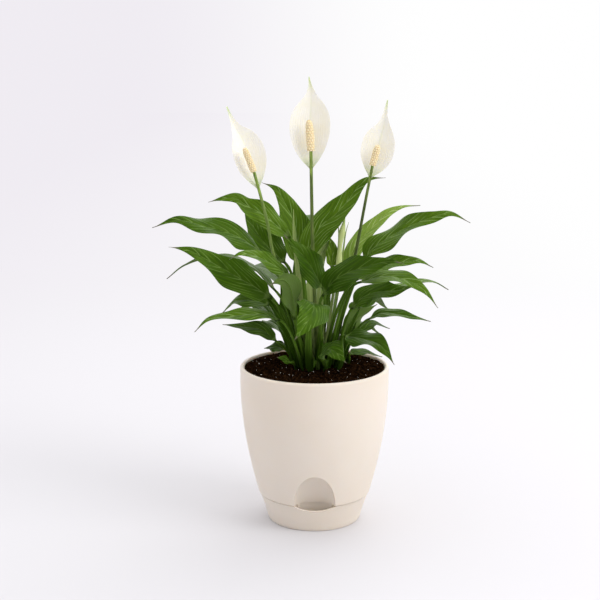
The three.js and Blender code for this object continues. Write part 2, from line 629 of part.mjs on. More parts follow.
const STEM_STEPS = 9;
const SPATHE_STATIONS = [0.05, 0.11, 0.18, 0.28, 0.39, 0.5, 0.61, 0.7, 0.78, 0.86, 1];
const SPATHE_THICKNESS = 0.8;

// The value at share `t` of a smooth line through equally spaced `values`.
const sampled = (values, t) => new THREE.SplineCurve(values.map((v, i) => new THREE.Vector2(i, v))).getPoint(t).y;

// A cupped white blade behind the spadix: its margins come forward of the midrib.
function spatheShape({ stemRadius, seat, spathe, widths, faces }, stem) {
  const ahead = vec(...faces).normalize();
  const base = stem.getPointAt(seat).addScaledVector(ahead, -stemRadius - SEAT_GAP);
  const midrib = smoothLine([base.toArray(), ...spathe]);
  const stations = [0, ...SPATHE_STATIONS];
  const frames = framesAlong(stations.map((t) => midrib.getPointAt(t)), 5, vec(...faces));
  const rings = frames.map((frame, i) => {
    const half = sampled(widths, stations[i]) / 2;
    const upper = ACROSS.map((u) => [half * u, half * (0.14 * Math.abs(u) + 0.22 * u * u)]);
    const lower = upper.map(([x, y], k) => [x, y - SPATHE_THICKNESS - (k === 2 ? 0.4 : 0)]).reverse();
    return [...upper, ...lower].map(([x, y]) => placed(frame, x, y));
  });
  return loft(rings);
}

const stemCurve = (place, path) => smoothLine([footing(place).surface.toArray(), ...path]);

// A round stem along `curve`, with `radii` at equal steps from the soil to the top.
function stemShape(place, curve, radii) {
  const { foot } = footing(place);
  const shares = range(STEM_STEPS + 1).map((i) => i / STEM_STEPS);
  const frames = framesAlong([foot, ...shares.map((t) => curve.getPointAt(t))], 5, vec(0, -1, 0));
  const rings = frames.map((frame, i) => roundRing(frame, sampled(radii, i ? shares[i - 1] : 0)));
  return { geometry: loft(rings), socket: socketSolid(frames, radii[0]) };
}

function spadixShape(low, high, radius) {
  const rows = 11;
  const points = range(rows + 1).map((i) => low.clone().lerp(high, i / rows));
  const frames = framesAlong(points, 0, vec(0, -1, 0));
  const around = 12;
  const rings = frames.map((frame, i) => {
    const share = i / rows;
    const body = radius * Math.sqrt(Math.max(0.12, 1 - ((share - 0.42) / 0.6) ** 4));
    return range(around).map((k) => {
      const bump = i > 0 && i < rows ? 0.07 * (-1) ** (i + k) : 0;
      const turn = ((k + 0.5) / around) * 2 * Math.PI;
      return placed(frame, body * (1 + bump) * Math.cos(turn), body * (1 + bump) * Math.sin(turn));
    });
  });
  return loft(rings);
}

// ---------------------------------------------------------------- assembly

const plant = new THREE.Group();
const sockets = [];

function addPiece(name, geometry, material) {
  const mesh = new THREE.Mesh(geometry, material);
  mesh.name = name;
  plant.add(mesh);
}

for (const [name, row] of Object.entries(LEAVES)) {
  const { geometry, socket } = leafShape(row);
  sockets.push(socket);
  addPiece(name, geometry, LEAF_GREEN);
}

for (const [name, flower] of Object.entries(FLOWERS)) {
  const [low, high] = flower.spadix.map((p) => vec(...p));
  const radii = [1.3, 1.1, 1].map((share) => share * flower.stemRadius);
  const stem = stemCurve(flower.foot, [...flower.stem, flower.spadix[0]]);
  const { geometry, socket } = stemShape(flower.foot, stem, radii);
  sockets.push(socket);
  const seat = low.clone().addScaledVector(high.clone().sub(low).normalize(), SEAT_GAP);
  addPiece("flower_stem_" + name, geometry, STEM_GREEN);
  addPiece("spathe_" + name, spatheShape(flower, stem), SPATHE_WHITE);
  addPiece("spadix_" + name, spadixShape(seat, high, flower.spadixRadius), SPADIX_CREAM);
}

const bud = stemShape(BUD.foot, stemCurve(BUD.foot, BUD.path), BUD.radii);
sockets.push(bud.socket);
addPiece("bud_right", bud.geometry, BUD_GREEN);

addPiece("soil", toGeometry(soilSolid(sockets)), PEAT);
addPiece("root_ball", toGeometry(rootBallSolid()), PEAT);
addPiece("wick_soil", toGeometry(wickSoilSolid()), PEAT);
addPiece("pot", toGeometry(potSolid()), CREAM_PLASTIC);
addPiece("wick_foot", toGeometry(wickFootSolid()), CREAM_PLASTIC);
addPiece("water_tray", toGeometry(traySolid()), CREAM_PLASTIC);

export default plant;
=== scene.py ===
"""Looks for the potted peace lily: fine leaves, flowers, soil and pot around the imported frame.

Tables and sizes are in millimetres, as the part was drawn. Meshes are made in metres.
"""

import logging
import math
from dataclasses import dataclass, field
from enum import Enum
from typing import Any, Iterable

import bmesh
import bpy
import numpy as np
from mathutils import Matrix, Vector, noise

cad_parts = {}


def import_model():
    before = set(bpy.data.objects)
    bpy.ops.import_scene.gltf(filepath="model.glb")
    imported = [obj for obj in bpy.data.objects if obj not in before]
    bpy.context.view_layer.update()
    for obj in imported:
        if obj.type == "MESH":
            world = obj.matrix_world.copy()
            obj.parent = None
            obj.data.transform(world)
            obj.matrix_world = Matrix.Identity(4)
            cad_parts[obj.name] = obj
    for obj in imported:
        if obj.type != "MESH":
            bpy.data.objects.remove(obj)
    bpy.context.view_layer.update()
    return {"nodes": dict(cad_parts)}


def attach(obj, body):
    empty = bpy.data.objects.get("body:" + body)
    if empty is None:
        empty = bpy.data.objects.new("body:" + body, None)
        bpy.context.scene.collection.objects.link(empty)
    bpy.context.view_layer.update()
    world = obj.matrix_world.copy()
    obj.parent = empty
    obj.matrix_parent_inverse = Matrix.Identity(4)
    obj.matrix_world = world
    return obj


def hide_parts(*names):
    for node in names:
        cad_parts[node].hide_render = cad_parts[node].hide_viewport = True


MM = 0.001
BODY = "root"
log = logging.getLogger("peace_lily")

Point = tuple[float, float, float]
Colour = tuple[float, float, float]


# ---------------------------------------------------------------- lines and meshes


def unit(vectors: np.ndarray) -> np.ndarray:
    """Returns the vectors at length one."""
    return vectors / np.maximum(np.linalg.norm(vectors, axis=-1, keepdims=True), 1e-12)


def smoothstep(values: np.ndarray, low: float, high: float) -> np.ndarray:
    """Returns 0 below `low`, 1 above `high` and a smooth rise between them."""
    share = np.clip((values - low) / (high - low), 0, 1)
    return share * share * (3 - 2 * share)


def columns(*values: Any) -> np.ndarray:
    """Puts values side by side for each point. Rows, rings or whole pieces may share a value."""
    return np.stack(np.broadcast_arrays(*values), axis=-1)


def two_sided(upper: np.ndarray, lower: np.ndarray) -> np.ndarray:
    """Joins the rows of a blade's two faces into rings, which run back along the lower face."""
    return np.concatenate([upper, lower[:, ::-1]], axis=1)


def turns_round(count: int) -> np.ndarray:
    """Returns `count` equal steps round a circle, in radians."""
    return 2 * math.pi * np.arange(count) / count


class SmoothLine:
    """A smooth line through given points, read by shares of its length."""

    STEPS = 200

    def __init__(self, points: Iterable[Point]):
        """Measures the line.

        Args:
            points: the places that the line passes through, in order.
        """
        self.points = np.array(list(points), float)
        marks = np.linspace(0, 1, self.STEPS + 1)
        self.marks = marks
        run = np.linalg.norm(np.diff(self.raw(marks), axis=0), axis=1)
        self.lengths = np.concatenate([[0], np.cumsum(run)])

    def raw(self, marks: np.ndarray) -> np.ndarray:
        """Returns centripetal Catmull-Rom points, with the marks spread evenly over the spans.

        Args:
            marks: shares of the count of spans, from 0 to 1.
        """
        points = self.points
        known = np.vstack([2 * points[0] - points[1], points, 2 * points[-1] - points[-2]])
        spans = len(points) - 1
        span = np.minimum((marks * spans).astype(int), spans - 1)
        share = (marks * spans - span)[:, None]
        x0, x1, x2, x3 = (known[span + k] for k in range(4))
        gaps = (x1 - x0, x2 - x1, x3 - x2)
        d0, d1, d2 = (np.sqrt(np.linalg.norm(gap, axis=1))[:, None] for gap in gaps)
        start = ((x1 - x0) / d0 - (x2 - x0) / (d0 + d1) + (x2 - x1) / d1) * d1
        end = ((x2 - x1) / d1 - (x3 - x1) / (d1 + d2) + (x3 - x2) / d2) * d1
        bend = 3 * (x2 - x1) - 2 * start - end
        turn = 2 * (x1 - x2) + start + end
        return x1 + start * share + bend * share**2 + turn * share**3

    def at(self, shares: np.ndarray) -> np.ndarray:
        """Returns the points at these shares of the line's length."""
        marks = np.interp(np.atleast_1d(shares) * self.length, self.lengths, self.marks)
        return self.raw(marks)

    @property
    def length(self) -> float:
        """The length of the line."""
        return float(self.lengths[-1])

    @property
    def start_direction(self) -> np.ndarray:
        """The direction in which the line sets out."""
        first = self.raw(np.array([0, 0.0001]))
        return unit(first[1] - first[0])


class Stalk(SmoothLine):
    """A stalk's bend from the soil to its blade: one cubic curve, read by its length."""

    def __init__(self, corners: Iterable[np.ndarray]):
        """Takes the curve's four control points."""
        super().__init__(corners)

    def raw(self, marks: np.ndarray) -> np.ndarray:
        """Returns the cubic's points at these parameters."""
        t = marks[:, None]
        a, b, c, d = self.points
        return a * (1 - t) ** 3 + 3 * b * t * (1 - t) ** 2 + 3 * c * t**2 * (1 - t) + d * t**3


@dataclass
class Frames:
    """Square frames along a line: where each stands, and its two directions across the line."""

    points: np.ndarray
    normals: np.ndarray
    sides: np.ndarray

    @classmethod
    def along(cls, points: np.ndarray, anchor: int, up: Point) -> "Frames":
        """Carries a frame without twist both ways from the point `anchor`, where it looks along `up`."""
        ends = np.vstack([points[1:], points[-1:]]) - np.vstack([points[:1], points[:-1]])
        along = unit(ends)
        normals = np.zeros_like(points)

        def square(normal: np.ndarray, i: int) -> np.ndarray:
            return unit(normal - along[i] * np.dot(normal, along[i]))

        normals[anchor] = square(np.array(up, float), anchor)
        for i in range(anchor + 1, len(points)):
            normals[i] = square(normals[i - 1], i)
        for i in range(anchor - 1, -1, -1):
            normals[i] = square(normals[i + 1], i)
        return cls(points, normals, np.cross(normals, along))

    def place(self, x: np.ndarray, y: np.ndarray) -> np.ndarray:
        """Returns points at `x` along each frame's side and `y` along its normal, one row for each frame."""
        aside = self.points[:, None] + self.sides[:, None] * x[..., None]
        return aside + self.normals[:, None] * y[..., None]


@dataclass
class Skin:
    """Points and faces of one piece as it grows, with the values that its finish reads."""

    points: list[np.ndarray] = field(default_factory=list)
    faces: list[tuple[int, ...]] = field(default_factory=list)
    marks: list[np.ndarray] = field(default_factory=list)
    count: int = 0

    def add(
        self, points: np.ndarray, faces: Iterable[tuple[int, ...]], marks: np.ndarray | None = None
    ) -> None:
        """Adds a surface.

        Args:
            points: one row for each vertex.
            faces: corner numbers, counted from this surface's first vertex.
            marks: four numbers for each vertex, for the finish.
        """
        self.points.append(points)
        self.faces.extend(tuple(self.count + k for k in face) for face in faces)
        self.marks.append(np.zeros((len(points), 4)) if marks is None else marks)
        self.count += len(points)

    def loft(self, rings: np.ndarray, marks: np.ndarray | None = None) -> None:
        """Closes a stack of equal rings into one body.

        Args:
            rings: points as rows of rings.
            marks: the same rows, with the finish's four numbers for each point.
        """
        rows, around = rings.shape[:2]
        faces = [
            (row * around + k, row * around + (k + 1) % around,
             (row + 1) * around + (k + 1) % around, (row + 1) * around + k)
            for row in range(rows - 1)
            for k in range(around)
        ]
        faces += [tuple(reversed(range(around))), tuple((rows - 1) * around + k for k in range(around))]
        flat = None if marks is None else marks.reshape(-1, 4)
        self.add(rings.reshape(-1, 3), faces, flat)

    def piece(
        self, name: str, finish: "Finish", slot: str, replaces: Iterable[str] = (), crease: float = 40
    ) -> bpy.types.Object:
        """Makes the piece, dresses it and lets it ride on the part's body.

        Args:
            name: the piece's name.
            finish: what it is dressed in.
            slot: not used.
            replaces: the part's nodes that it stands for.
            crease: edges sharper than this many degrees stay sharp.

        Returns:
            The piece.
        """
        mesh = bpy.data.meshes.new(name)
        points = np.vstack(self.points) * MM
        mesh.from_pydata(points.tolist(), [], self.faces)
        marks = mesh.attributes.new("marks", "FLOAT_COLOR", "POINT")
        marks.data.foreach_set("color", np.vstack(self.marks).astype(np.float32).ravel())
        return dressed(mesh, finish, replaces, crease)


def linked(name: str, data: bpy.types.ID) -> bpy.types.Object:
    """Returns a new object called `name` that holds `data`, linked to the scene."""
    made = bpy.data.objects.new(name, data)
    bpy.context.scene.collection.objects.link(made)
    return made


def dressed(
    mesh: bpy.types.Mesh, finish: "Finish", replaces: Iterable[str] = (), crease: float = 40
) -> bpy.types.Object:
    """Puts a mesh in the scene as a piece, in its finish, riding on the part's body.

    Args:
        mesh: the piece's mesh, in metres. The piece takes its name.
        finish: what it is dressed in.
        replaces: the part's nodes that it stands for.
        crease: edges sharper than this many degrees stay sharp.

    Returns:
        The piece.
    """
    mesh.validate()
    mesh.shade_smooth()
    mesh.set_sharp_from_angle(angle=math.radians(crease))
    mesh.materials.append(finish.material)
    piece = linked(mesh.name, mesh)
    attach(piece, BODY)
    if replaces:
        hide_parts(*replaces)
    log.info("%s: %d faces", mesh.name, len(mesh.polygons))
    return piece


# ---------------------------------------------------------------- shader maths


class Value:
    """A number on its way through a shader. An expression on it adds the Math nodes that work it out."""

    def __init__(self, graph: "Graph", socket: bpy.types.NodeSocket):
        """Wraps `socket`, an output in `graph`."""
        self.graph = graph
        self.socket = socket

    def maths(self, operation: str, *inputs: Any) -> "Value":
        """Returns the result of a Math node on `inputs`, each a Value or a number."""
        sockets = dict(enumerate(inputs))
        return self.graph.add("ShaderNodeMath", {"operation": operation}, sockets).value(0)

    def __add__(self, other: Any) -> "Value":
        """Adds."""
        return self.maths("ADD", self, other)

    def __radd__(self, other: float) -> "Value":
        """Adds to a number."""
        return self.maths("ADD", other, self)

    def __sub__(self, other: Any) -> "Value":
        """Subtracts."""
        return self.maths("SUBTRACT", self, other)

    def __rsub__(self, other: float) -> "Value":
        """Subtracts from a number."""
        return self.maths("SUBTRACT", other, self)

    def __mul__(self, other: Any) -> "Value":
        """Multiplies."""
        return self.maths("MULTIPLY", self, other)

    def __rmul__(self, other: float) -> "Value":
        """Multiplies a number."""
        return self.maths("MULTIPLY", other, self)

    def __truediv__(self, other: Any) -> "Value":
        """Divides."""
        return self.maths("DIVIDE", self, other)

    def __pow__(self, other: Any) -> "Value":
        """Raises to a power."""
        return self.maths("POWER", self, other)

    def clipped(self) -> "Value":
        """Keeps the value between 0 and 1."""
        return self.graph.add("ShaderNodeClamp", {}, {"Value": self}).value("Result")

    def size(self) -> "Value":
        """Drops the sign."""
        return self.maths("ABSOLUTE", self)

    def wave(self) -> "Value":
        """A triangle wave: 0 at whole numbers and 1 halfway between them."""
        return self.maths("PINGPONG", self, 0.5) * 2

    def ramp(self, low: float, high: float) -> "Value":
        """Rises smoothly from 0 at `low` to 1 at `high`."""
        settings = {"interpolation_type": "SMOOTHSTEP"}
        sockets = {"Value": self, "From Min": low, "From Max": high}
        return self.graph.add("ShaderNodeMapRange", settings, sockets).value("Result")


class Node:
    """A node that has been added, with its outputs at hand."""

    def __init__(self, graph: "Graph", node: bpy.types.Node):
        """Wraps `node`, which stands in `graph`."""
        self.graph = graph
        self.node = node

    def value(self, output: str | int) -> Value:
        """Returns one output, by name or number."""
        return Value(self.graph, self.node.outputs[output])


class Graph:
    """The nodes of one material."""

    def __init__(self, name: str):
        """Starts a material called `name` with an empty graph."""
        self.material = bpy.data.materials.new(name)
        self.material.use_nodes = True
        self.tree = self.material.node_tree
        self.tree.nodes.clear()

    @classmethod
    def inside(cls, tree: bpy.types.NodeTree) -> "Graph":
        """Returns a graph that adds its nodes to `tree`, which has no material."""
        graph = cls.__new__(cls)
        graph.tree = tree
        return graph

    def add(self, kind: str, settings: dict[str, Any], inputs: dict[str | int, Any]) -> Node:
        """Adds a node.

        Args:
            kind: the node's type.
            settings: its properties.
            inputs: a Value, number or colour for each input, by name or number.

        Returns:
            The node.
        """
        node = self.tree.nodes.new(kind)
        for key, setting in settings.items():
            setattr(node, key, setting)
        for key, given in inputs.items():
            socket = node.inputs[key]
            if isinstance(given, Value):
                self.tree.links.new(given.socket, socket)
            elif isinstance(given, tuple) and len(given) == 3 and socket.type == "RGBA":
                socket.default_value = (*given, 1)
            else:
                socket.default_value = given
        return Node(self, node)

    def marks(self) -> tuple[Value, Value, Value, Value]:
        """Returns the four numbers that the piece's mesh carries for its finish."""
        found = self.add("ShaderNodeAttribute", {"attribute_name": "marks"}, {})
        split = self.add("ShaderNodeSeparateXYZ", {}, {0: found.value("Vector")})
        return split.value(0), split.value(1), split.value(2), found.value("Alpha")

    def place(self) -> Value:
        """Returns where the surface stands, in metres."""
        return self.add("ShaderNodeTexCoord", {}, {}).value("Object")

    def grain(self, scale: float, detail: float = 3, rough: float = 0.5) -> Value:
        """Returns soft noise from 0 to 1.

        Args:
            scale: how many times it repeats in a metre.
            detail: how many finer layers it has.
            rough: how strong the finer layers are.
        """
        sockets = {"Vector": self.place(), "Scale": scale, "Detail": detail, "Roughness": rough}
        return self.add("ShaderNodeTexNoise", {}, sockets).value("Fac")

    def streaks(self, *place: Any, detail: float = 2) -> Value:
        """Returns soft noise from 0 to 1 at a place that is given by up to three Values or numbers."""
        vector = self.add("ShaderNodeCombineXYZ", {}, dict(enumerate(place))).value(0)
        sockets = {"Vector": vector, "Scale": 1, "Detail": detail}
        return self.add("ShaderNodeTexNoise", {}, sockets).value("Fac")

    def blend(self, share: Any, first: Any, second: Any) -> Value:
        """Returns the colour `first` where `share` is 0 and `second` where it is 1."""
        sockets = {"Factor": share, 6: first, 7: second}
        return self.add("ShaderNodeMix", {"data_type": "RGBA"}, sockets).value(2)

    def bump(self, height: Value, millimetres: float) -> Value:
        """Returns normals for a surface that rises by `millimetres` where `height` is 1."""
        sockets = {"Height": height, "Distance": millimetres * MM}
        return self.add("ShaderNodeBump", {}, sockets).value("Normal")

    def surface(self, inputs: dict[str, Any]) -> bpy.types.Material:
        """Ends the graph in one Principled shader.

        Args:
            inputs: the shader's sockets.

        Returns:
            The material.
        """
        shader = self.add("ShaderNodeBsdfPrincipled", {}, inputs).value("BSDF")
        self.add("ShaderNodeOutputMaterial", {}, {"Surface": shader})
        return self.material


# ---------------------------------------------------------------- finishes


def lit_inside(weight: float, radius: Colour, millimetres: float) -> dict[str, Any]:
    """Returns the sockets that let light into a surface.

    Args:
        weight: how much of the light goes in.
        radius: how far red, green and blue go, as shares of `millimetres`.
        millimetres: the depth that the light reaches.
    """
    return {"Subsurface Weight": weight, "Subsurface Radius": radius, "Subsurface Scale": millimetres * MM}


class Finish:
    """Something that a piece can be dressed in. Its material is made once."""

    made: dict[Any, bpy.types.Material] = {}

    @property
    def material(self) -> bpy.types.Material:
        """The finish's material."""
        if self not in Finish.made:
            Finish.made[self] = self.build()
        return Finish.made[self]

    def build(self) -> bpy.types.Material:
        """Makes the material."""
        raise NotImplementedError


@dataclass(frozen=True)
class LeafFinish(Finish):
    """A satin living leaf: paler midrib, long shallow veins above with painted sheen and painted shade in
    streaks along them, dull and pale below, a dry tip, and painted shade at the stalk's foot.

    The marks are the place across the blade from -1 to 1; the count of veins so far, or on the stalk the
    share of its length; 0 on the upper face, 1 on the lower one and 2 on the stalk; and the share of the
    blade's length.
    """

    name: str
    upper: Colour
    # The darker green: partly the leaf's own tone, partly painted shade laid in streaks between the painted
    # sheen.
    deep_and_shade: Colour
    # The paler green of the veins and midrib: partly their own colour, partly painted sheen where the glint
    # noise falls.
    vein_and_sheen: Colour
    under: Colour = (0.085, 0.14, 0.03)
    stalk: Colour = (0.1, 0.185, 0.02)
    stalk_shade: Colour = (0.03, 0.075, 0.004)
    # Painted shade on the stalk's foot, where the clump shades it near the soil.
    root: Colour = (0.014, 0.036, 0.002)
    tip: Colour = (0.13, 0.11, 0.085)
    sheen: Colour = (0.7, 1, 0.2)

    VEIN_LINE = (0.02, 0.34)  # how far a vein's line reaches, as a share of half the way to the next
    FINE_LINES = 4  # fine lines for each vein
    MIDRIB = (0.012, 0.06)  # how far the midrib's line reaches, as a share of half the width
    DRY_TIP = (0.9, 0.965)  # the shares of the blade over which its tip dries
    FOOT_SHADE = (0.12, 0.5)  # the shares of the stalk over which the painted shade at its foot ends
    VEIN_DEPTH = 0.16  # millimetres

    def build(self) -> bpy.types.Material:
        """Makes the material."""
        graph = Graph(self.name)
        across, veins, kind, along = graph.marks()
        below = kind.ramp(0.2, 0.8)
        on_stalk = kind.ramp(1.2, 1.9)
        half = across.maths("GREATER_THAN", across, 0)
        # Painted sheen and shade: lengthwise streaks, with random cloudiness, blend the darker and the upper
        # green.
        streak = graph.streaks(veins * 1.6, along * 3, half * 7)
        glint = graph.streaks(veins * 0.9 + 30, along * 5, half * 5)
        cloudy = graph.grain(24, 3)
        line = 1 - veins.wave().ramp(*self.VEIN_LINE)
        fine = 1 - (veins * self.FINE_LINES).wave().ramp(0.0, 0.6)
        rib = 1 - across.size().ramp(*self.MIDRIB)
        face = graph.blend((streak * 2.2 + cloudy * 0.9 - 1.05).clipped(), self.deep_and_shade, self.upper)
        # Pale lines on the veins and the midrib: partly their own paler colour, partly painted highlight
        # where the glint noise falls.
        pale = line * glint.ramp(0.4, 0.6) * 0.85 + fine * 0.08
        veined = graph.blend(pale.clipped(), face, self.vein_and_sheen)
        ribbed = graph.blend(rib * glint.ramp(0.35, 0.6) * 0.75, veined, self.vein_and_sheen)
        back = graph.blend(rib * 0.6 + line * 0.2, self.under, self.stalk)
        blade = graph.blend(below, ribbed, back)
        tipped = graph.blend(along.ramp(*self.DRY_TIP), blade, self.tip)
        fibres = graph.streaks(across * 4, along, veins * 2).ramp(0.35, 0.65)
        stem = graph.blend(fibres, self.stalk_shade, self.stalk)
        # Painted shade: the stalk darkens towards its foot in the soil.
        foot_shaded = graph.blend(veins.ramp(*self.FOOT_SHADE), self.root, stem)
        colour = graph.blend(on_stalk, tipped, foot_shaded)
        quilt = line * -0.5 + fine * -0.12 + graph.grain(1100, 2) * 0.2
        rough = below * 0.15 + streak * 0.14 + 0.34
        return graph.surface({
            "Base Color": colour, "Roughness": rough, "Normal": graph.bump(quilt, self.VEIN_DEPTH),
            **lit_inside(0.06, (0.5, 1.0, 0.1), 1.5),
            "Specular IOR Level": 0.22, "Specular Tint": self.sheen,
        })


@dataclass(frozen=True)
class StemFinish(Finish):
    """A smooth green flower stem with faint streaks, paler at its neck.

    The first mark is the share of its length.
    """

    name: str
    green: Colour
    shade: Colour
    neck: Colour = (0.3, 0.42, 0.08)

    def build(self) -> bpy.types.Material:
        """Makes the material."""
        graph = Graph(self.name)
        upright = {"Vector": graph.place(), "Scale": (1, 1, 0.08)}
        stretched = graph.add("ShaderNodeMapping", {}, upright).value(0)
        streak = graph.add("ShaderNodeTexNoise", {}, {"Vector": stretched, "Scale": 900}).value("Fac")
        along, _, _, _ = graph.marks()
        green = graph.blend(along.ramp(0.8, 0.93), self.green, self.neck)
        colour = graph.blend(streak.ramp(0.3, 0.7), self.shade, green)
        return graph.surface({
            "Base Color": colour, "Roughness": streak * 0.15 + 0.4, "Normal": graph.bump(streak, 0.05),
            "Specular IOR Level": 0.25,
            **lit_inside(0.1, (0.5, 1.0, 0.2), 2),
        })


@dataclass(frozen=True)
class SpatheFinish(Finish):
    """A soft white spathe: faint ribs from base to tip, cream at the foot and green at the drip tip.

    The marks are the place across it from -1 to 1, the share of its length, and 1 on its back.
    """

    name: str = "spathe white"
    white: Colour = (0.84, 0.82, 0.75)
    cream: Colour = (0.8, 0.74, 0.55)
    green: Colour = (0.42, 0.6, 0.2)

    def build(self) -> bpy.types.Material:
        """Makes the material."""
        graph = Graph(self.name)
        across, along, _, _ = graph.marks()
        ribs = (across.size() ** 0.85 * 9).wave()
        cloudy = graph.grain(60, 3).ramp(0.3, 0.75)
        tone = graph.blend(cloudy * 0.4, self.white, self.cream)
        footed = graph.blend((1 - along.ramp(0.0, 0.2)) * 0.5, tone, self.green)
        rib = (1 - across.size().ramp(0.01, 0.07)) * 0.12
        tipped = graph.blend((along.ramp(0.82, 1) * 0.6 + rib).clipped(), footed, self.green)
        broad = 1 - along.ramp(0.6, 0.8)
        lined = graph.blend((1 - ribs.ramp(0, 0.35)) * broad * 0.12, tipped, self.cream)
        height = ribs ** 0.6 * broad * 0.9 + graph.grain(700, 2) * 0.2
        return graph.surface({
            "Base Color": lined, "Roughness": cloudy * 0.1 + 0.45, "Normal": graph.bump(height, 0.16),
            **lit_inside(0.3, (1.0, 0.9, 0.6), 3),
        })


@dataclass(frozen=True)
class SpadixFinish(Finish):
    """Cream florets, darker and browner in the gaps between them. The first mark is a floret's height, from 0
    to 1.
    """

    name: str = "spadix cream"
    floret: Colour = (0.88, 0.75, 0.47)
    gap: Colour = (0.48, 0.27, 0.09)

    def build(self) -> bpy.types.Material:
        """Makes the material."""
        graph = Graph(self.name)
        height, _, _, _ = graph.marks()
        dust = graph.grain(2500, 3)
        colour = graph.blend((height.ramp(0.1, 0.75) * 0.85 + dust * 0.2).clipped(), self.gap, self.floret)
        return graph.surface({
            "Base Color": colour, "Roughness": dust * 0.2 + 0.6, "Normal": graph.bump(dust, 0.12),
            **lit_inside(0.2, (1.0, 0.8, 0.4), 2),
        })


@dataclass(frozen=True)
class BudFinish(Finish):
    """The rolled pale bud on its green stem. The first mark is the share of the way from soil to tip."""

    name: str = "bud green"
    stem: Colour = (0.14, 0.25, 0.03)
    pale: Colour = (0.6, 0.68, 0.28)
    tip: Colour = (0.3, 0.44, 0.1)

    def build(self) -> bpy.types.Material:
        """Makes the material."""
        graph = Graph(self.name)
        along, around, _, _ = graph.marks()
        streak = (around * 14).wave()
        rolled = graph.blend(streak * 0.35, self.pale, self.tip)
        tipped = graph.blend(along.ramp(0.93, 1), rolled, self.tip)
        colour = graph.blend(along.ramp(0.55, 0.66), self.stem, tipped)
        return graph.surface({
            "Base Color": colour, "Roughness": graph.grain(400, 3) * 0.2 + 0.32,
            "Normal": graph.bump(streak, 0.08),
            **lit_inside(0.15, (0.8, 1.0, 0.4), 2),
        })


@dataclass(frozen=True)
class PeatFinish(Finish):
    """Moist dark peat with brown fibres."""

    name: str = "moist peat"
    dark: Colour = (0.003, 0.0012, 0.0005)
    brown: Colour = (0.045, 0.02, 0.008)

    def build(self) -> bpy.types.Material:
        """Makes the material."""
        graph = Graph(self.name)
        crumbs = graph.grain(420, 6, 0.7)
        colour = graph.blend(crumbs.ramp(0.42, 0.7), self.dark, self.brown)
        return graph.surface({
            "Base Color": colour, "Roughness": crumbs * 0.3 + 0.6, "Normal": graph.bump(crumbs, 1.4),
            "Specular IOR Level": 0.0,
        })


@dataclass(frozen=True)
class PerliteFinish(Finish):
    """White puffed grains, dusted with peat."""

    name: str = "perlite white"
    white: Colour = (0.75, 0.74, 0.7)
    dusty: Colour = (0.28, 0.22, 0.17)

    def build(self) -> bpy.types.Material:
        """Makes the material."""
        graph = Graph(self.name)
        dust = graph.grain(1500, 4, 0.6)
        colour = graph.blend(dust.ramp(0.55, 0.75), self.white, self.dusty)
        return graph.surface({
            "Base Color": colour, "Roughness": dust * 0.2 + 0.75, "Normal": graph.bump(dust, 0.3),
        })


@dataclass(frozen=True)
class PotFinish(Finish):
    """Matte moulded plastic, cream, with a fine moulded grain and faint handling marks."""

    name: str = "cream plastic"
    cream: Colour = (0.77, 0.69, 0.6)
    warm: Colour = (0.72, 0.62, 0.5)

    def build(self) -> bpy.types.Material:
        """Makes the material."""
        graph = Graph(self.name)
        clouds = graph.grain(14, 4).ramp(0.3, 0.75)
        grain = graph.grain(2200, 2)
        colour = graph.blend(clouds * 0.35, self.cream, self.warm)
        return graph.surface({
            "Base Color": colour, "Roughness": clouds * 0.08 + 0.46, "Normal": graph.bump(grain, 0.05),
            **lit_inside(0.2, (1.0, 0.7, 0.45), 6),
        })


BACKDROP = (0.94, 0.93, 0.95)
# Painted light: the backdrop is darker on the left and palest on the right, where the key light hangs.
BACKDROP_SHADED_LEFT = (0.87, 0.84, 0.89)
BACKDROP_LIT_RIGHT = (1.0, 1.0, 1.0)
FLOOR_SPAN = (-1.1, 0.9)  # metres of X over which the painted light on the floor's far end grows paler towards the right
AIR_SPAN = (-0.14, 0.11)  # the same, in the X of a way through the air
FLOOR_FADE = (0.5, 1.6)  # metres from the pot over which the floor turns into the backdrop


def backdrop(graph: Graph, place: Value, left: float, right: float) -> Value:
    """Returns the backdrop's colour, with painted light that makes it paler on the plant's right-hand side,
    where the key light hangs.

    Args:
        graph: the graph that works it out.
        place: the place on the floor, or the way through the air.
        left: the X of `place` up to which it is darkest.
        right: the X of `place` from which it is palest.
    """
    side = graph.add("ShaderNodeSeparateXYZ", {}, {0: place}).value(0)
    return graph.blend(side.ramp(left, right), BACKDROP_SHADED_LEFT, BACKDROP_LIT_RIGHT)


@dataclass(frozen=True)
class FloorFinish(Finish):
    """A plain pale studio floor that fades with no edge into a glow of painted light in the backdrop's
    colour.
    """

    name: str = "studio floor"
    pale: Colour = (0.625, 0.618, 0.632)

    def build(self) -> bpy.types.Material:
        """Makes the material."""
        graph = Graph(self.name)
        near = {"Base Color": self.pale, "Roughness": 0.9, "Specular IOR Level": 0.1}
        floor = graph.add("ShaderNodeBsdfPrincipled", {}, near).value("BSDF")
        far = backdrop(graph, graph.place(), *FLOOR_SPAN)
        # Painted light: far off, the floor glows in the backdrop's colour.
        glow = graph.add("ShaderNodeEmission", {}, {"Color": far}).value(0)
        away = graph.add("ShaderNodeVectorMath", {"operation": "LENGTH"}, {0: graph.place()}).value("Value")
        mixed = graph.add("ShaderNodeMixShader", {}, {0: away.ramp(*FLOOR_FADE), 1: floor, 2: glow}).value(0)
        graph.add("ShaderNodeOutputMaterial", {}, {"Surface": mixed})
        return graph.material


# ---------------------------------------------------------------- how the plant stands

SOIL_HEIGHT = 157.5
ROOT_DEPTH = 12  # how far the stalks stand in the soil
FOOT_CLEAR = 5  # how far a stalk goes straight on above it
FOOT_LEAN = 0.014  # how much it leans for each millimetre from the clump's middle
FOOT_RINGS = [(0, 1), (6.4, 6), (12.8, 12), (19.2, 18), (25.6, 24)]  # radius and count of places
CLUMP_CENTRE = (3, 10)


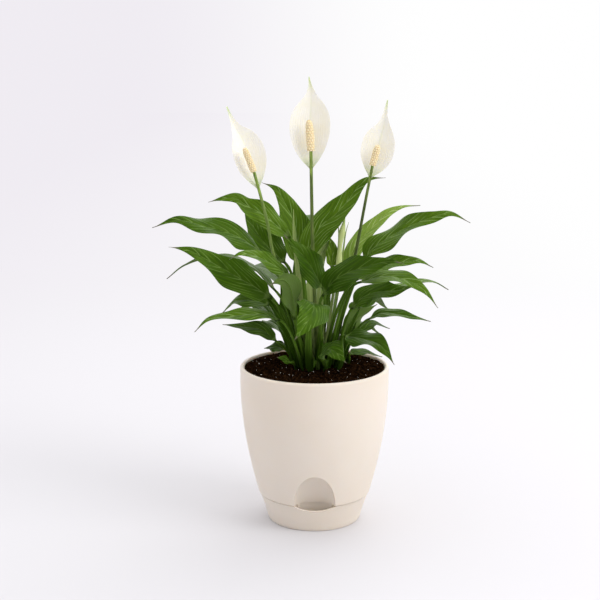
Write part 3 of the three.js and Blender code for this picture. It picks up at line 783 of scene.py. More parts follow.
@dataclass(frozen=True)
class Footing:
    """Where a stalk stands in the soil: a ring, and a place counted anticlockwise from +X."""

    ring: int
    place: int

    @property
    def outwards(self) -> np.ndarray:
        """The way from the middle of the clump to the stalk."""
        radius, places = FOOT_RINGS[self.ring]
        turn = 2 * math.pi * self.place / places
        return radius * np.array([math.cos(turn), math.sin(turn), 0])

    @property
    def foot(self) -> np.ndarray:
        """The stalk's end in the soil."""
        return self.outwards + (*CLUMP_CENTRE, SOIL_HEIGHT - ROOT_DEPTH)

    @property
    def rise(self) -> np.ndarray:
        """The stalk's first direction, which leans outwards more on the outer rings."""
        return unit(FOOT_LEAN * self.outwards + (0, 0, 1))

    @property
    def surface(self) -> np.ndarray:
        """The point where the stalk is clear of the soil."""
        return self.foot + self.rise * (ROOT_DEPTH + FOOT_CLEAR)


# ---------------------------------------------------------------- leaves


class Tone(Enum):
    """The greens that the leaves come in, each picked to match how bright a leaf looks: partly their own
    tones, and partly painted light, paler for leaves with sheen and darker for shaded ones.
    """

    DARK = LeafFinish("leaf dark", (0.034, 0.085, 0.002), (0.013, 0.038, 0.001), (0.085, 0.15, 0.025))
    MATURE = LeafFinish("leaf mature", (0.052, 0.118, 0.003), (0.02, 0.058, 0.001), (0.14, 0.23, 0.05))
    GREEN = LeafFinish("leaf green", (0.078, 0.155, 0.006), (0.034, 0.083, 0.002), (0.21, 0.32, 0.09))
    FRESH = LeafFinish("leaf fresh", (0.115, 0.2, 0.012), (0.055, 0.118, 0.004), (0.29, 0.41, 0.12))
    # The young leaves' green, made paler as painted light that lifts them out of the clump's shade.
    PALE = LeafFinish(
        "leaf pale", (0.38, 0.46, 0.17), (0.27, 0.36, 0.1), (0.55, 0.62, 0.35), (0.4, 0.48, 0.2)
    )
    YOUNG = LeafFinish("leaf young", (0.2, 0.3, 0.05), (0.13, 0.22, 0.025), (0.38, 0.48, 0.18))


@dataclass
class Leaf:
    """One leaf: a stalk from its foot in the soil, and a pointed, waved blade along `path`.

    The margins rise and fall by `wave` in `waves` waves, and swing out and in by the share `ruffle`. The
    two margins are `lag` apart in their waves. `fold` lifts the blade's halves from the midrib and `arch`
    bends them over. `base` and `tip` say how slender its two ends are.
    """

    name: str
    footing: tuple[int, int]
    width: float
    path: list[Point]
    faces: Point = (0, 0, 1)
    tone: Tone = Tone.MATURE
    wave: float = 2.9
    waves: float = 2
    phase: float = 0
    lag: float = 1.4
    fold: float = 0.34
    arch: float = 0.22
    blade_rows: int = 72
    stalk_rows: int = 22
    half_ring: int = 27
    thickness: float = 0.55
    ruffle: float = 0.09
    base: float = 0.8
    tip: float = 1.6
    vein_spacing: float = 13

    SMALL_WIDTH = 19  # narrower leaves face as told nearer their stalk
    FULL_WIDTH = 34  # wider leaves have no thicker stalks
    WAVED_WIDTH = 26  # wider leaves have no higher waves
    STALK_FOOT = 2.2
    STALK_TOP = 1.4
    SHEATH = 1.7  # how much wider the stalk's foot is to both sides
    JOINT = 0.12  # the share of the blade over which the stalk flattens into it
    VEIN_LEAN = (2.5, 0.16)  # how far veins run to the tip for each millimetre outwards, and its square
    VEIN_RIDGE = 0.2
    GROOVE = (0.35, 0.9)  # depth and half width above the midrib
    RIB = (0.35, 1.5)  # how far the midrib stands out below, at the tip and more at the base
    RIB_WIDTH = (0.5, 0.9)  # its half width, likewise

    def outline(self, t: np.ndarray) -> np.ndarray:
        """Returns the width at share `t` of the blade, 1 at its widest."""
        widest = self.base / (self.base + self.tip)
        return (t / widest) ** self.base * ((1 - t) / (1 - widest)) ** self.tip

    def line(self) -> tuple[np.ndarray, np.ndarray]:
        """Returns the points from the foot to the tip, and the share of the blade at each, 0 on the stalk."""
        stand = Footing(*self.footing)
        midrib = SmoothLine(self.path)
        joint = midrib.points[0]
        reach = float(np.linalg.norm(joint - stand.surface))
        lift = stand.surface + stand.rise * 0.4 * reach
        ease = joint - midrib.start_direction * 0.18 * reach
        stalk = Stalk([stand.surface, lift, ease, joint])
        climb = np.linspace(0, 1, self.stalk_rows)
        shares = np.linspace(0, 1, self.blade_rows + 1)[1:] ** 1.08
        points = np.vstack([stand.foot, stalk.at(climb), midrib.at(shares)])
        return points, np.concatenate([np.zeros(self.stalk_rows + 1), shares])

    def blade(self, t: np.ndarray, length: float) -> tuple[np.ndarray, np.ndarray, np.ndarray]:
        """Works out the blade's cross-sections, upper face first.

        Args:
            t: the share of the blade at each row.
            length: the blade's length.

        Returns:
            The places across and above the midrib, and the finish's marks.
        """
        u = np.linspace(1, -1, self.half_ring)
        u = np.sign(u) * np.abs(u) ** 0.9
        envelope = self.outline(t)[:, None]
        half = np.maximum(self.width / 2 * envelope, 0.12)
        lag = np.where(u < 0, self.lag, 0)
        t = t[:, None]
        swing = np.sin(2 * math.pi * (self.waves + 0.5) * t - self.phase + 1.6 * lag)
        x = half * u * (1 + self.ruffle * swing)
        margin = np.sin(2 * math.pi * self.waves * t + self.phase + lag)
        wave = self.wave * min(1, self.width / self.WAVED_WIDTH) ** 1.5
        rise = half * (self.fold * np.abs(u) - self.arch * u * u) + envelope * wave * u * u * margin
        lean, bend = self.VEIN_LEAN
        veins = (length * t - lean * np.abs(x) - bend * x * x) / self.vein_spacing
        ridge = np.abs((veins % 1) - 0.5) * 2
        body = np.minimum(1, envelope * 1.4) * (1 - u**6) * smoothstep(np.abs(x), 0.6, 3.5)
        depth, reach = self.GROOVE
        groove = depth * (1 - t) ** 0.6 * np.exp(-((x / reach) ** 2))
        upper = rise - groove - self.VEIN_RIDGE * body * ridge
        (low, more), (narrow, wider) = self.RIB, self.RIB_WIDTH
        rib = (low + more * (1 - t) ** 1.3) * np.exp(-((x / (narrow + wider * (1 - t))) ** 2))
        thickness = self.thickness * (0.35 + 0.65 * np.sqrt(np.maximum(0, 1 - u**4)))
        face, back = (columns(u, veins, side, t) for side in (0, 1))
        return two_sided(x, x), two_sided(upper, upper - thickness - rib), two_sided(face, back)

    def build(self) -> bpy.types.Object:
        """Makes the leaf in place of its node.

        Returns:
            The piece.
        """
        points, t = self.line()
        mid = 0.3 if self.width < self.SMALL_WIDTH else 0.48
        anchor = int(np.argmin(np.abs(t - mid)))
        frames = Frames.along(points, anchor, self.faces)
        scale = 0.6 + 0.4 * min(1, self.width / self.FULL_WIDTH)
        steps = np.clip((np.arange(len(points)) - 1) / (self.stalk_rows - 1), 0, 1)
        swell = 1 + 0.25 * np.exp(-(((steps - 0.97) / 0.03) ** 2)) * (t == 0)
        radius = (self.STALK_FOOT + (self.STALK_TOP - self.STALK_FOOT) * steps) * scale * swell
        x, y, marks = self.blade(t, SmoothLine(self.path).length)
        turn = math.pi * (np.arange(2 * self.half_ring) + 0.5) / self.half_ring
        flat = 1 - 0.18 * np.maximum(0, np.sin(turn)) ** 4
        join = smoothstep(t, 0, self.JOINT)[:, None]
        sheath = self.SHEATH * (1 - smoothstep(steps, 0.2, 0.9)) * scale
        x = ((radius + sheath)[:, None] * np.cos(turn)) * (1 - join) + x * join
        y = (radius[:, None] * np.sin(turn) * flat) * (1 - join) + y * join
        marks[..., 2] = 2 * (1 - join) + marks[..., 2] * join
        # On the stalk, the second mark is the share of its length, which places the painted shade at its
        # foot.
        marks[t == 0, :, 1] = steps[t == 0][:, None]
        skin = Skin()
        skin.loft(frames.place(x, y), marks)
        return skin.piece(self.name + "_grown", self.tone.value, "leaf", [self.name])


DARK, MATURE, GREEN, FRESH, YOUNG = Tone.DARK, Tone.MATURE, Tone.GREEN, Tone.FRESH, Tone.YOUNG

# Most paths here and in FLOWERS and BUD were read off the photograph by eye, each point with a depth that was
# chosen by hand, and turned into millimetres by a script outside this file, with the camera of Studio.
LEAVES = [
    # left side, from the top down
    Leaf("leaf_left_1", (2, 7), 25, [
        (-52, -6, 276), (-75, -14, 293), (-107, -26, 305), (-132, -34, 312), (-156, -42, 306),
    ], (-0.1, -0.7, 0.7), MATURE, phase=2.2, wave=4.2, ruffle=0.16),
    Leaf("leaf_left_2", (2, 8), 24, [
        (-24, 2, 289), (-37, -2, 302), (-53, -6, 315), (-67, -8, 323), (-76, -10, 330), (-91, -12, 330),
        (-104, -14, 327),
    ], (-0.1, -0.8, 0.6), GREEN, phase=0.5),
    Leaf("leaf_left_3", (3, 10), 31, [
        (-42, -17, 231), (-56, -24, 243), (-76, -35, 257), (-105, -50, 277), (-121, -58, 287),
        (-138, -66, 291),
    ], (-0.1, -0.85, 0.5), MATURE, wave=3.6, ruffle=0.12),
    Leaf("leaf_left_4", (2, 6), 24, [
        (-38, 10, 233), (-63, 24, 257), (-102, 40, 264), (-134, 50, 254), (-154, 58, 238),
    ], (0.1, 0.1, 1), MATURE),
    Leaf("leaf_left_5", (3, 11), 21, [
        (-23, -28, 253), (-32, -38, 264), (-45, -50, 274), (-58, -60, 282), (-71, -68, 285),
        (-81, -72, 280),
    ], (-0.1, -0.7, 0.7), GREEN),
    Leaf("leaf_left_6", (3, 12), 26, [
        (-20, -30, 213), (-22, -37, 231), (-25, -52, 250), (-32, -66, 260), (-43, -80, 257),
    ], (-0.4, -0.5, 0.8), FRESH, base=1.35, fold=0.2, arch=0.3),
    Leaf("leaf_left_7", (3, 8), 20, [
        (-45, 12, 219), (-60, 20, 222), (-80, 30, 220), (-95, 38, 206),
    ], (-0.1, -0.6, 0.8), MATURE),
    Leaf("leaf_left_8", (4, 16), 18, [
        (-34, -28, 212), (-52, -40, 221), (-80, -54, 222), (-102, -64, 221), (-115, -70, 210),
    ], (0, -0.5, 0.87), GREEN),
    Leaf("leaf_left_9", (3, 9), 17, [
        (-38, 8, 182), (-53, 18, 192), (-73, 30, 193), (-95, 40, 193),
    ], (0, -0.7, 0.7), DARK),
    Leaf("leaf_left_10", (4, 10), 15, [
        (-30, 16, 172), (-39, 24, 173), (-52, 34, 169),
    ], (0, -0.7, 0.7), DARK),
    Leaf("leaf_left_11", (4, 15), 9, [
        (-25, -26, 169), (-30, -29, 173), (-37, -33, 176),
    ], (0, -0.7, 0.7), DARK),
    Leaf("leaf_left_12", (1, 3), 20, [
        (-17, 12, 194), (-27, 12, 222), (-35, 12, 247),
    ], (-0.2, -0.9, 0.3), DARK),
    # middle
    Leaf("leaf_middle_1", (4, 17), 34, [
        (-3, -46, 233), (-1, -60, 233), (-4, -75, 227), (-12, -86, 217), (-20, -92, 207),
    ], (0.2, -0.75, 0.6), MATURE),
    Leaf("leaf_middle_2", (4, 19), 24, [
        (5, -42, 179), (15, -52, 189), (30, -64, 178),
    ], (0.1, -0.8, 0.6), DARK),
    Leaf("leaf_middle_3", (2, 9), 28, [
        (8, -22, 243), (-7, -36, 272), (-30, -46, 300),
    ], (0.3, -0.85, 0.4), DARK),
    Leaf("leaf_middle_4", (1, 2), 29, [
        (-12, 8, 262), (6, 7, 300), (20, 6, 312), (32, 6, 325), (42, 6, 339), (52, 5, 347), (70, 4, 349),
    ], (-0.2, -0.9, 0.4), GREEN),
    Leaf("leaf_middle_5", (2, 4), 32, [
        (-12, 14, 257), (-16, 18, 277), (-21, 24, 302), (-30, 28, 322), (-39, 32, 335), (-53, 34, 341),
    ], (0.2, -0.9, 0.4), GREEN),
    Leaf("leaf_middle_6", (2, 5), 32, [
        (-29, 16, 261), (-53, 30, 283), (-73, 44, 315),
    ], (0.3, -0.9, 0.3), MATURE),
    Leaf("leaf_middle_7", (1, 1), 14, [
        (17, 8, 258), (18, 12, 276), (14, 16, 291),
    ], (0.2, -0.9, 0.2), FRESH),
    # right side, from the top down
    Leaf("leaf_right_1", (2, 11), 25, [
        (47, -8, 263), (54, -13, 278), (67, -20, 290), (84, -28, 302), (97, -34, 309), (112, -40, 316),
        (128, -46, 320), (147, -52, 312),
    ], (-0.2, -0.7, 0.7), GREEN, wave=4.2, ruffle=0.16),
    Leaf("leaf_right_2", (2, 1), 19, [
        (32, 14, 240), (35, 18, 260), (40, 22, 276), (49, 27, 287), (64, 33, 300), (75, 38, 310),
        (89, 44, 315), (109, 50, 316),
    ], (-0.4, -0.8, 0.4), YOUNG),
    Leaf("leaf_right_3", (3, 14), 29, [
        (7, -38, 238), (16, -46, 253), (28, -54, 263), (50, -66, 273), (68, -76, 279), (82, -82, 278),
    ], (-0.1, -0.85, 0.5), DARK),
    Leaf("leaf_right_4", (2, 10), 22, [
        (40, -18, 250), (63, -26, 265), (84, -32, 271), (99, -36, 273), (114, -40, 267),
    ], (0, -0.6, 0.8), GREEN),
    Leaf("leaf_right_5", (3, 15), 21, [
        (41, -46, 253), (66, -64, 263), (84, -78, 262), (100, -90, 255), (113, -98, 239),
    ], (0.1, -0.65, 0.75), GREEN),
    Leaf("leaf_right_6", (3, 1), 18, [
        (60, 14, 232), (82, 24, 236), (101, 32, 238), (123, 42, 238), (140, 50, 228),
    ], (0, -0.1, 1), GREEN),
    Leaf("leaf_right_7", (3, 16), 27, [
        (36, -26, 223), (45, -32, 235), (58, -42, 243), (75, -54, 247), (96, -66, 254),
    ], (0, -0.75, 0.65), MATURE),
    Leaf("leaf_right_8", (3, 0), 24, [(28, -2, 186), (42, 0, 208), (63, 8, 221)], (0, 0.7, 0.7), DARK),
    Leaf("leaf_right_9", (3, 17), 15, [
        (53, -14, 210), (66, -20, 218), (85, -28, 218), (113, -36, 213),
    ], (0, -0.45, 0.9), MATURE),
    Leaf("leaf_right_10", (4, 2), 13, [(43, 18, 188), (60, 30, 196), (79, 44, 188)], (0, -0.4, 0.9), DARK),
    Leaf("leaf_right_11", (4, 21), 25, [
        (29, -34, 198), (45, -50, 199), (62, -64, 196), (75, -78, 180),
    ], (0.2, -0.65, 0.75), DARK),
    Leaf("leaf_right_12", (4, 0), 12, [(36, 8, 169), (48, 20, 169), (71, 34, 160)], (0, -0.5, 0.85), DARK),
    # at the back, hidden from the front
    Leaf("leaf_back_1", (2, 3), 36, [(-4, 36, 258), (-10, 72, 290), (-18, 112, 296), (-24, 146, 276)]),
    Leaf("leaf_back_2", (3, 3), 32, [(18, 40, 232), (38, 72, 250), (58, 102, 246), (74, 130, 222)]),
    Leaf("leaf_back_3", (3, 6), 32, [(-24, 38, 228), (-48, 68, 246), (-72, 96, 242), (-92, 120, 218)]),
    Leaf("leaf_back_4", (4, 3), 24, [(38, 34, 205), (58, 58, 216), (82, 88, 198)]),
    Leaf("leaf_back_5", (3, 7), 24, [(-38, 28, 198), (-58, 54, 212), (-84, 84, 198)]),
    Leaf("leaf_back_6", (3, 4), 24, [(8, 42, 196), (3, 50, 222), (-2, 58, 250)]),
    Leaf("leaf_back_7", (3, 5), 22, [(-14, 48, 200), (-17, 54, 232), (-21, 60, 260)]),
    Leaf("leaf_back_8", (4, 4), 22, [(28, 42, 180), (48, 58, 190), (74, 80, 172)]),
    Leaf("leaf_back_9", (4, 8), 22, [(-28, 44, 180), (-44, 56, 192), (-62, 72, 186)]),
]


@dataclass
class Shoot:
    """A narrow rolled young leaf or a sheath, from its root along `path` to its point."""

    path: list[Point]
    width: float
    faces: Point = (0, -1, 0.2)
    roll: float = 0.5
    rows: int = 28
    half_ring: int = 9
    thickness: float = 0.5

    def grow(self, skin: Skin) -> None:
        """Adds the shoot to `skin`."""
        t = np.linspace(0, 1, self.rows)
        frames = Frames.along(SmoothLine(self.path).at(t), self.rows // 2, self.faces)
        u = np.linspace(1, -1, self.half_ring)
        half = np.maximum(0.15, self.width / 2 * (0.45 + 1.1 * t) * (1 - t) ** 0.75)[:, None]
        x = half * u
        upper = self.roll * half * u * u
        lower = upper - self.thickness * (0.4 + 0.6 * np.sqrt(1 - u**4))
        veins = 6 * u * (1 - t[:, None])
        face, back = (columns(u, veins, side, 0.9 * t[:, None]) for side in (0, 1))
        skin.loft(frames.place(two_sided(x, x), two_sided(upper, lower)), two_sided(face, back))


SHEATHS = [
    # among the stalks in front
    Shoot([(-12, -6, 156), (-24, -10, 192), (-34, -12, 214), (-46, -13, 234), (-54, -14, 247)], 18),
    Shoot([(-14, -4, 156), (-18, -9, 178), (-23, -13, 199), (-27, -17, 214)], 8, (-0.4, -1, 0.2)),
    Shoot([(-4, -14, 156), (-6, -19, 176), (-8, -22, 194), (-9, -26, 206)], 8, (-0.2, -1, 0.2)),
    Shoot([(3, -16, 156), (4, -21, 172), (6, -24, 186), (8, -29, 194)], 8),
    Shoot([(3, -15, 157), (2, -24, 168), (0, -31, 172), (-1, -35, 166)], 8, (0, -0.6, 0.8)),
    Shoot([(10, -13, 157), (11, -22, 169), (12, -30, 172), (12, -34, 167)], 8, (0.1, -0.6, 0.8)),
    Shoot([(12, -14, 156), (16, -19, 177), (21, -22, 196), (25, -25, 210)], 8, (0.2, -1, 0.2)),
    Shoot([(22, -6, 156), (28, -9, 180), (36, -12, 204), (45, -14, 222)], 9, (0.3, -1, 0.2)),
    Shoot([(26, 2, 156), (31, 0, 176), (37, -2, 194), (42, -4, 206)], 8, (0.5, -1, 0.2)),
    Shoot([(-20, 4, 156), (-25, 2, 174), (-31, 0, 190), (-37, 0, 200)], 8, (-0.6, -1, 0.2)),
    # round the sides and the back
    Shoot([(29, 12, 156), (34, 13, 172), (40, 15, 187), (46, 18, 196)], 8, (1, 0, 0.3)),
    Shoot([(25, 24, 156), (29, 29, 174), (34, 35, 190), (39, 41, 200)], 8, (0.7, 0.7, 0.3)),
    Shoot([(14, 33, 156), (16, 39, 176), (18, 45, 194), (20, 52, 206)], 8, (0.2, 1, 0.3)),
    Shoot([(0, 36, 156), (0, 42, 173), (-1, 47, 189), (-2, 54, 198)], 8, (0, 1, 0.3)),
    Shoot([(-12, 31, 156), (-16, 37, 176), (-20, 43, 192), (-24, 50, 202)], 8, (-0.5, 0.9, 0.3)),
    Shoot([(-21, 20, 156), (-26, 23, 172), (-32, 26, 186), (-38, 30, 194)], 8, (-1, 0.3, 0.3)),
]

YOUNG_LEAVES = [
    Shoot([(2, 12, 160), (-1, 14, 238), (2, 15, 258), (8, 16, 273), (16, 16, 286)], 31, (0.2, -1, 0.1)),
    Shoot([(-4, 2, 160), (-14, 2, 230), (-20, 4, 284), (-21, 3, 301), (-21, 1, 318)], 9, (0.2, -1, 0.1), 0.9),
    Shoot([(8, 6, 160), (20, 9, 240), (24, 11, 280), (24, 12, 296), (22, 12, 308)], 5, (0, -1, 0.1), 0.9),
    Shoot([(10, 5, 160), (24, 8, 240), (29, 9, 280), (31, 9, 294), (34, 9, 304)], 5, (0.2, -1, 0.1), 0.9),
]


def grow_shoots() -> None:
    """Makes the sheaths at the foot of the clump, and the young leaves that stand rolled in it, in a pale
    green made paler by painted light.
    """
    sheaths, young = Skin(), Skin()
    for shoot in SHEATHS:
        shoot.grow(sheaths)
    for shoot in YOUNG_LEAVES:
        shoot.grow(young)
    sheaths.piece("stalk_sheaths", Tone.DARK.value, "leaf")
    young.piece("young_leaves", Tone.PALE.value, "leaf")


# ---------------------------------------------------------------- flowers


def sampled(values: list[float], shares: np.ndarray) -> np.ndarray:
    """Returns the values at these shares of a smooth line through equally spaced `values`."""
    known = np.array([values[0], *values, values[-1]], float)
    spans = len(values) - 1
    span = np.minimum((shares * spans).astype(int), spans - 1)
    t = shares * spans - span
    a, b, c, d = (known[span + k] for k in range(4))
    start, end = (c - a) / 2, (d - b) / 2
    return (2 * b - 2 * c + start + end) * t**3 + (-3 * b + 3 * c - 2 * start - end) * t**2 + start * t + b


@dataclass
class Stem:
    """A round stem from its footing along `path`, with `radii` at equal steps from the soil to the top."""

    footing: tuple[int, int]
    path: list[Point]
    radii: list[float]
    rows: int = 60
    around: int = 20

    def curve(self) -> SmoothLine:
        """Returns the stem's middle line above the soil."""
        return SmoothLine([tuple(Footing(*self.footing).surface), *self.path])

    def build(self, name: str, finish: Finish, slot: str, node: str) -> bpy.types.Object:
        """Makes the stem in place of its node.

        Returns:
            The piece.
        """
        shares = np.linspace(0, 1, self.rows)
        points = np.vstack([Footing(*self.footing).foot, self.curve().at(shares)])
        frames = Frames.along(points, len(points) // 2, (0, -1, 0))
        along = np.concatenate([[0], shares])
        radius = sampled(self.radii, along)[:, None]
        turn = turns_round(self.around)
        skin = Skin()
        skin.loft(
            frames.place(radius * np.cos(turn), radius * np.sin(turn)),
            columns(along[:, None], turn / (2 * math.pi), 0, 0),
        )
        return skin.piece(name, finish, slot, [node])


@dataclass
class Flower:
    """One open flower: its stem, the cupped white spathe and the spadix in front of it."""

    name: str
    footing: tuple[int, int]
    stem: list[Point]
    spadix: tuple[Point, Point]
    stem_radius: float
    spadix_radius: float
    seat: float
    spathe: list[Point]
    widths: list[float]
    faces: Point
    stem_finish: StemFinish
    gap: float = 0.3

    SPATHE_ROWS = 64
    SPATHE_RING = 25
    SPATHE_THICKNESS = 0.6
    SPATHE_RIBS = 9  # on each side of the midrib
    RIB_DEPTH = 0.14
    MARGIN_WAVE = 0.8
    SPADIX_ROWS = 110
    SPADIX_RING = 84
    SPIRALS = 8  # florets round the spadix
    FLORET = 0.95  # how far a floret stands out

    def build(self) -> None:
        """Makes the stem, the spathe and the spadix in place of their nodes."""
        radii = [share * self.stem_radius for share in (1.3, 1.1, 1)]
        stem = Stem(self.footing, [*self.stem, self.spadix[0]], radii)
        stem.build(f"flower_stem_{self.name}_grown", self.stem_finish, "stem", f"flower_stem_{self.name}")
        self.build_spathe(stem.curve())
        self.build_spadix()

    def build_spathe(self, stem: SmoothLine) -> None:
        """Makes the spathe, whose base clasps the back of `stem`."""
        ahead = unit(np.array(self.faces, float))
        base = stem.at(np.array([self.seat]))[0] - ahead * (self.stem_radius + self.gap)
        t = np.linspace(0, 1, self.SPATHE_ROWS)
        midrib = SmoothLine([tuple(base), *self.spathe])
        frames = Frames.along(midrib.at(t), int(np.argmin(np.abs(t - 0.39))), self.faces)
        u = np.linspace(1, -1, self.SPATHE_RING)
        half = sampled(self.widths, t)[:, None] / 2
        wave = np.sin(9 * t[:, None] + 2 * np.sign(u)) * self.MARGIN_WAVE
        margin = wave * np.abs(u) ** 3 * smoothstep(half, 3, 11)
        rib = np.abs(((np.abs(u) ** 0.85 * self.SPATHE_RIBS) % 1) - 0.5)
        ribs = self.RIB_DEPTH * rib * smoothstep(half, 5, 12) * (1 - u**4)
        upper = half * (0.14 * np.abs(u) + 0.22 * u * u) + margin - ribs
        thickness = self.SPATHE_THICKNESS * (0.35 + 0.65 * np.sqrt(1 - u**4))
        lower = upper - thickness - 0.5 * np.exp(-((half * u / 0.9) ** 2))
        x = half * u
        face, back = (columns(u, t[:, None], side, 0) for side in (0, 1))
        skin = Skin()
        skin.loft(frames.place(two_sided(x, x), two_sided(upper, lower)), two_sided(face, back))
        skin.piece(f"spathe_{self.name}_grown", SpatheFinish(), "spathe", [f"spathe_{self.name}"])

    def build_spadix(self) -> None:
        """Makes the spadix, covered in florets that stand in crossing spirals."""
        low, high = (np.array(end, float) for end in self.spadix)
        length = float(np.linalg.norm(high - low))
        s = np.linspace(self.gap / length, 1, self.SPADIX_ROWS)
        points = low + (high - low) * s[:, None]
        frames = Frames.along(points, 0, (0, -1, 0))
        body = self.spadix_radius * np.sqrt(np.maximum(0.02, 1 - np.abs((s - 0.42) / 0.6) ** 4))[:, None]
        turn = turns_round(self.SPADIX_RING)
        spacing = 2 * math.pi * self.spadix_radius / self.SPIRALS
        row_height = spacing * 0.87
        down = (s * length)[:, None] / row_height
        row = np.floor(down)
        nearest = np.full((self.SPADIX_ROWS, self.SPADIX_RING), np.inf)
        for step in (-1, 0, 1, 2):
            shifted = turn[None] / (2 * math.pi) * self.SPIRALS + 0.5 * (row + step) + 0.07 * down
            side = (shifted - np.round(shifted)) * spacing
            rise = (down - (row + step)) * spacing * 0.87
            nearest = np.minimum(nearest, np.hypot(side, rise))
        height = np.sqrt(np.maximum(0, 1 - (nearest / (0.54 * spacing)) ** 2))
        radius = body * 0.84 + self.FLORET * height * np.minimum(1, body / self.spadix_radius * 1.2)
        skin = Skin()
        skin.loft(frames.place(radius * np.cos(turn), radius * np.sin(turn)), columns(height, 0, 0, 0))
        skin.piece(f"spadix_{self.name}_grown", SpadixFinish(), "spadix", [f"spadix_{self.name}"], 75)


FLOWERS = [
    Flower(
        "left", (1, 4), [(-41, -14, 277), (-46, -16, 305), (-52, -17, 330)],
        ((-59, -20, 357), (-68, -22, 380)), 1.45, 3, 0.915,
        [(-61, -11, 358), (-66, -9, 377), (-71, -8, 389), (-77, -9, 399), (-85, -14, 419)],
        [2, 15, 25, 30, 32, 30.5, 25, 14, 6.5, 3.2, 1.4], (0.25, -0.95, 0.1),
        StemFinish("stem light", (0.19, 0.27, 0.06), (0.1, 0.16, 0.03)),
    ),
    Flower(
        "middle", (0, 0), [(-2, -6, 281), (-3, -6, 322)], ((-4, -8, 376), (-6, -9, 406)),
        1.6, 3.8, 0.915, [(-5, 0, 379), (-5, 2, 399), (-4, 2, 417), (-4, 0, 432), (-6, -4, 447)],
        [2, 17.5, 28.5, 35, 39, 39.5, 36.5, 27.5, 12.5, 4, 1.2], (0, -1, 0.1),
        StemFinish("stem green", (0.125, 0.17, 0.035), (0.065, 0.105, 0.018)),
    ),
    Flower(
        "right", (2, 0), [(40, -3, 272), (50, -6, 329)], ((56, -8, 362), (61, -10, 382)),
        1.4, 3.2, 0.94, [(59, -1, 366), (63, 0, 384), (67, -1, 401), (68, -3, 411), (70, -6, 425)],
        [3, 17, 27, 32, 32.5, 30.5, 23, 12, 5.5, 3, 1.2], (-0.1, -1, 0.1),
        StemFinish("stem olive", (0.08, 0.11, 0.02), (0.04, 0.07, 0.01)),
    ),
]

BUD = Stem(
    (1, 0), [(23, 4, 241), (24, 6, 258), (25, 6, 274), (26, 6, 287), (30, 6, 309)],
    [1.8, 1.5, 1.4, 1.3, 1.3, 1.4, 2.2, 3, 2, 3.2, 0.5],
)


# ---------------------------------------------------------------- pot, tray and soil


def skinned(shape: bmesh.types.BMesh, rows: list[list[bmesh.types.BMVert]], closed: bool = False) -> None:
    """Spans faces between rows of equally many points that go round an axis.

    Args:
        shape: the shape that the points are in.
        rows: the points. A row at the axis holds one point many times.
        closed: whether the last row joins the first.
    """
    for low, high in zip(rows, rows[1:] + (rows[:1] if closed else [])):
        for k in range(len(low)):
            after = (k + 1) % len(low)
            corners = list(dict.fromkeys([low[k], low[after], high[after], high[k]]))
            if len(corners) > 2:
                shape.faces.new(corners)
    bmesh.ops.recalc_face_normals(shape, faces=shape.faces)


def circle(shape: bmesh.types.BMesh, radius: float, height: float, steps: int) -> list[bmesh.types.BMVert]:
    """Adds a level circle of points to `shape`, or one point many times where `radius` is 0."""
    if radius < 0.001:
        return [shape.verts.new((0, 0, height))] * steps
    places = ((radius * math.cos(a), radius * math.sin(a), height) for a in turns_round(steps))
    return [shape.verts.new(place) for place in places]


def turned(profile: Iterable[tuple[float, float]], steps: int, closed: bool = False) -> bmesh.types.BMesh:
    """Turns a profile about the upright axis.

    Args:
        profile: pairs of radius and height.
        steps: how many facets go round.
        closed: whether the profile's last point joins its first.

    Returns:
        The surface, in millimetres.
    """
    shape = bmesh.new()
    skinned(shape, [circle(shape, radius, height, steps) for radius, height in profile], closed)
    return shape


def rounded(
    corner: tuple[float, float], first: float, last: float, radius: float
) -> list[tuple[float, float]]:
    """Returns the points of an arc about `corner` from the angle `first` to `last`, in degrees."""
    turns = [math.radians(first + (last - first) * k / 6) for k in range(7)]
    return [(corner[0] + radius * math.cos(a), corner[1] + radius * math.sin(a)) for a in turns]


def shaped(shape: bmesh.types.BMesh, name: str) -> bpy.types.Mesh:
    """Turns a shape in millimetres into a mesh in metres called `name`."""
    mesh = bpy.data.meshes.new(name)
    shape.to_mesh(mesh)
    shape.free()
    mesh.transform(Matrix.Scale(MM, 4))
    return mesh


def cut(body: bpy.types.Mesh, tool: bpy.types.Mesh, operation: str) -> bpy.types.Mesh:
    """Joins, trims or cuts one closed mesh with another.

    Args:
        body: the mesh that is worked on.
        tool: the mesh that it is worked with.
        operation: UNION, INTERSECT or DIFFERENCE.

    Returns:
        The new mesh, which has the first one's name.
    """
    name = body.name
    worked, other = linked("worked", body), linked("tool", tool)
    modifier = worked.modifiers.new("cut", "BOOLEAN")
    modifier.operation = operation
    modifier.solver = "EXACT"
    modifier.object = other
    evaluated = worked.evaluated_get(bpy.context.evaluated_depsgraph_get())
    result = bpy.data.meshes.new_from_object(evaluated)
    for holder in (worked, other):
        bpy.data.objects.remove(holder)
    for used in (body, tool):
        bpy.data.meshes.remove(used)
    result.name = name
    return result


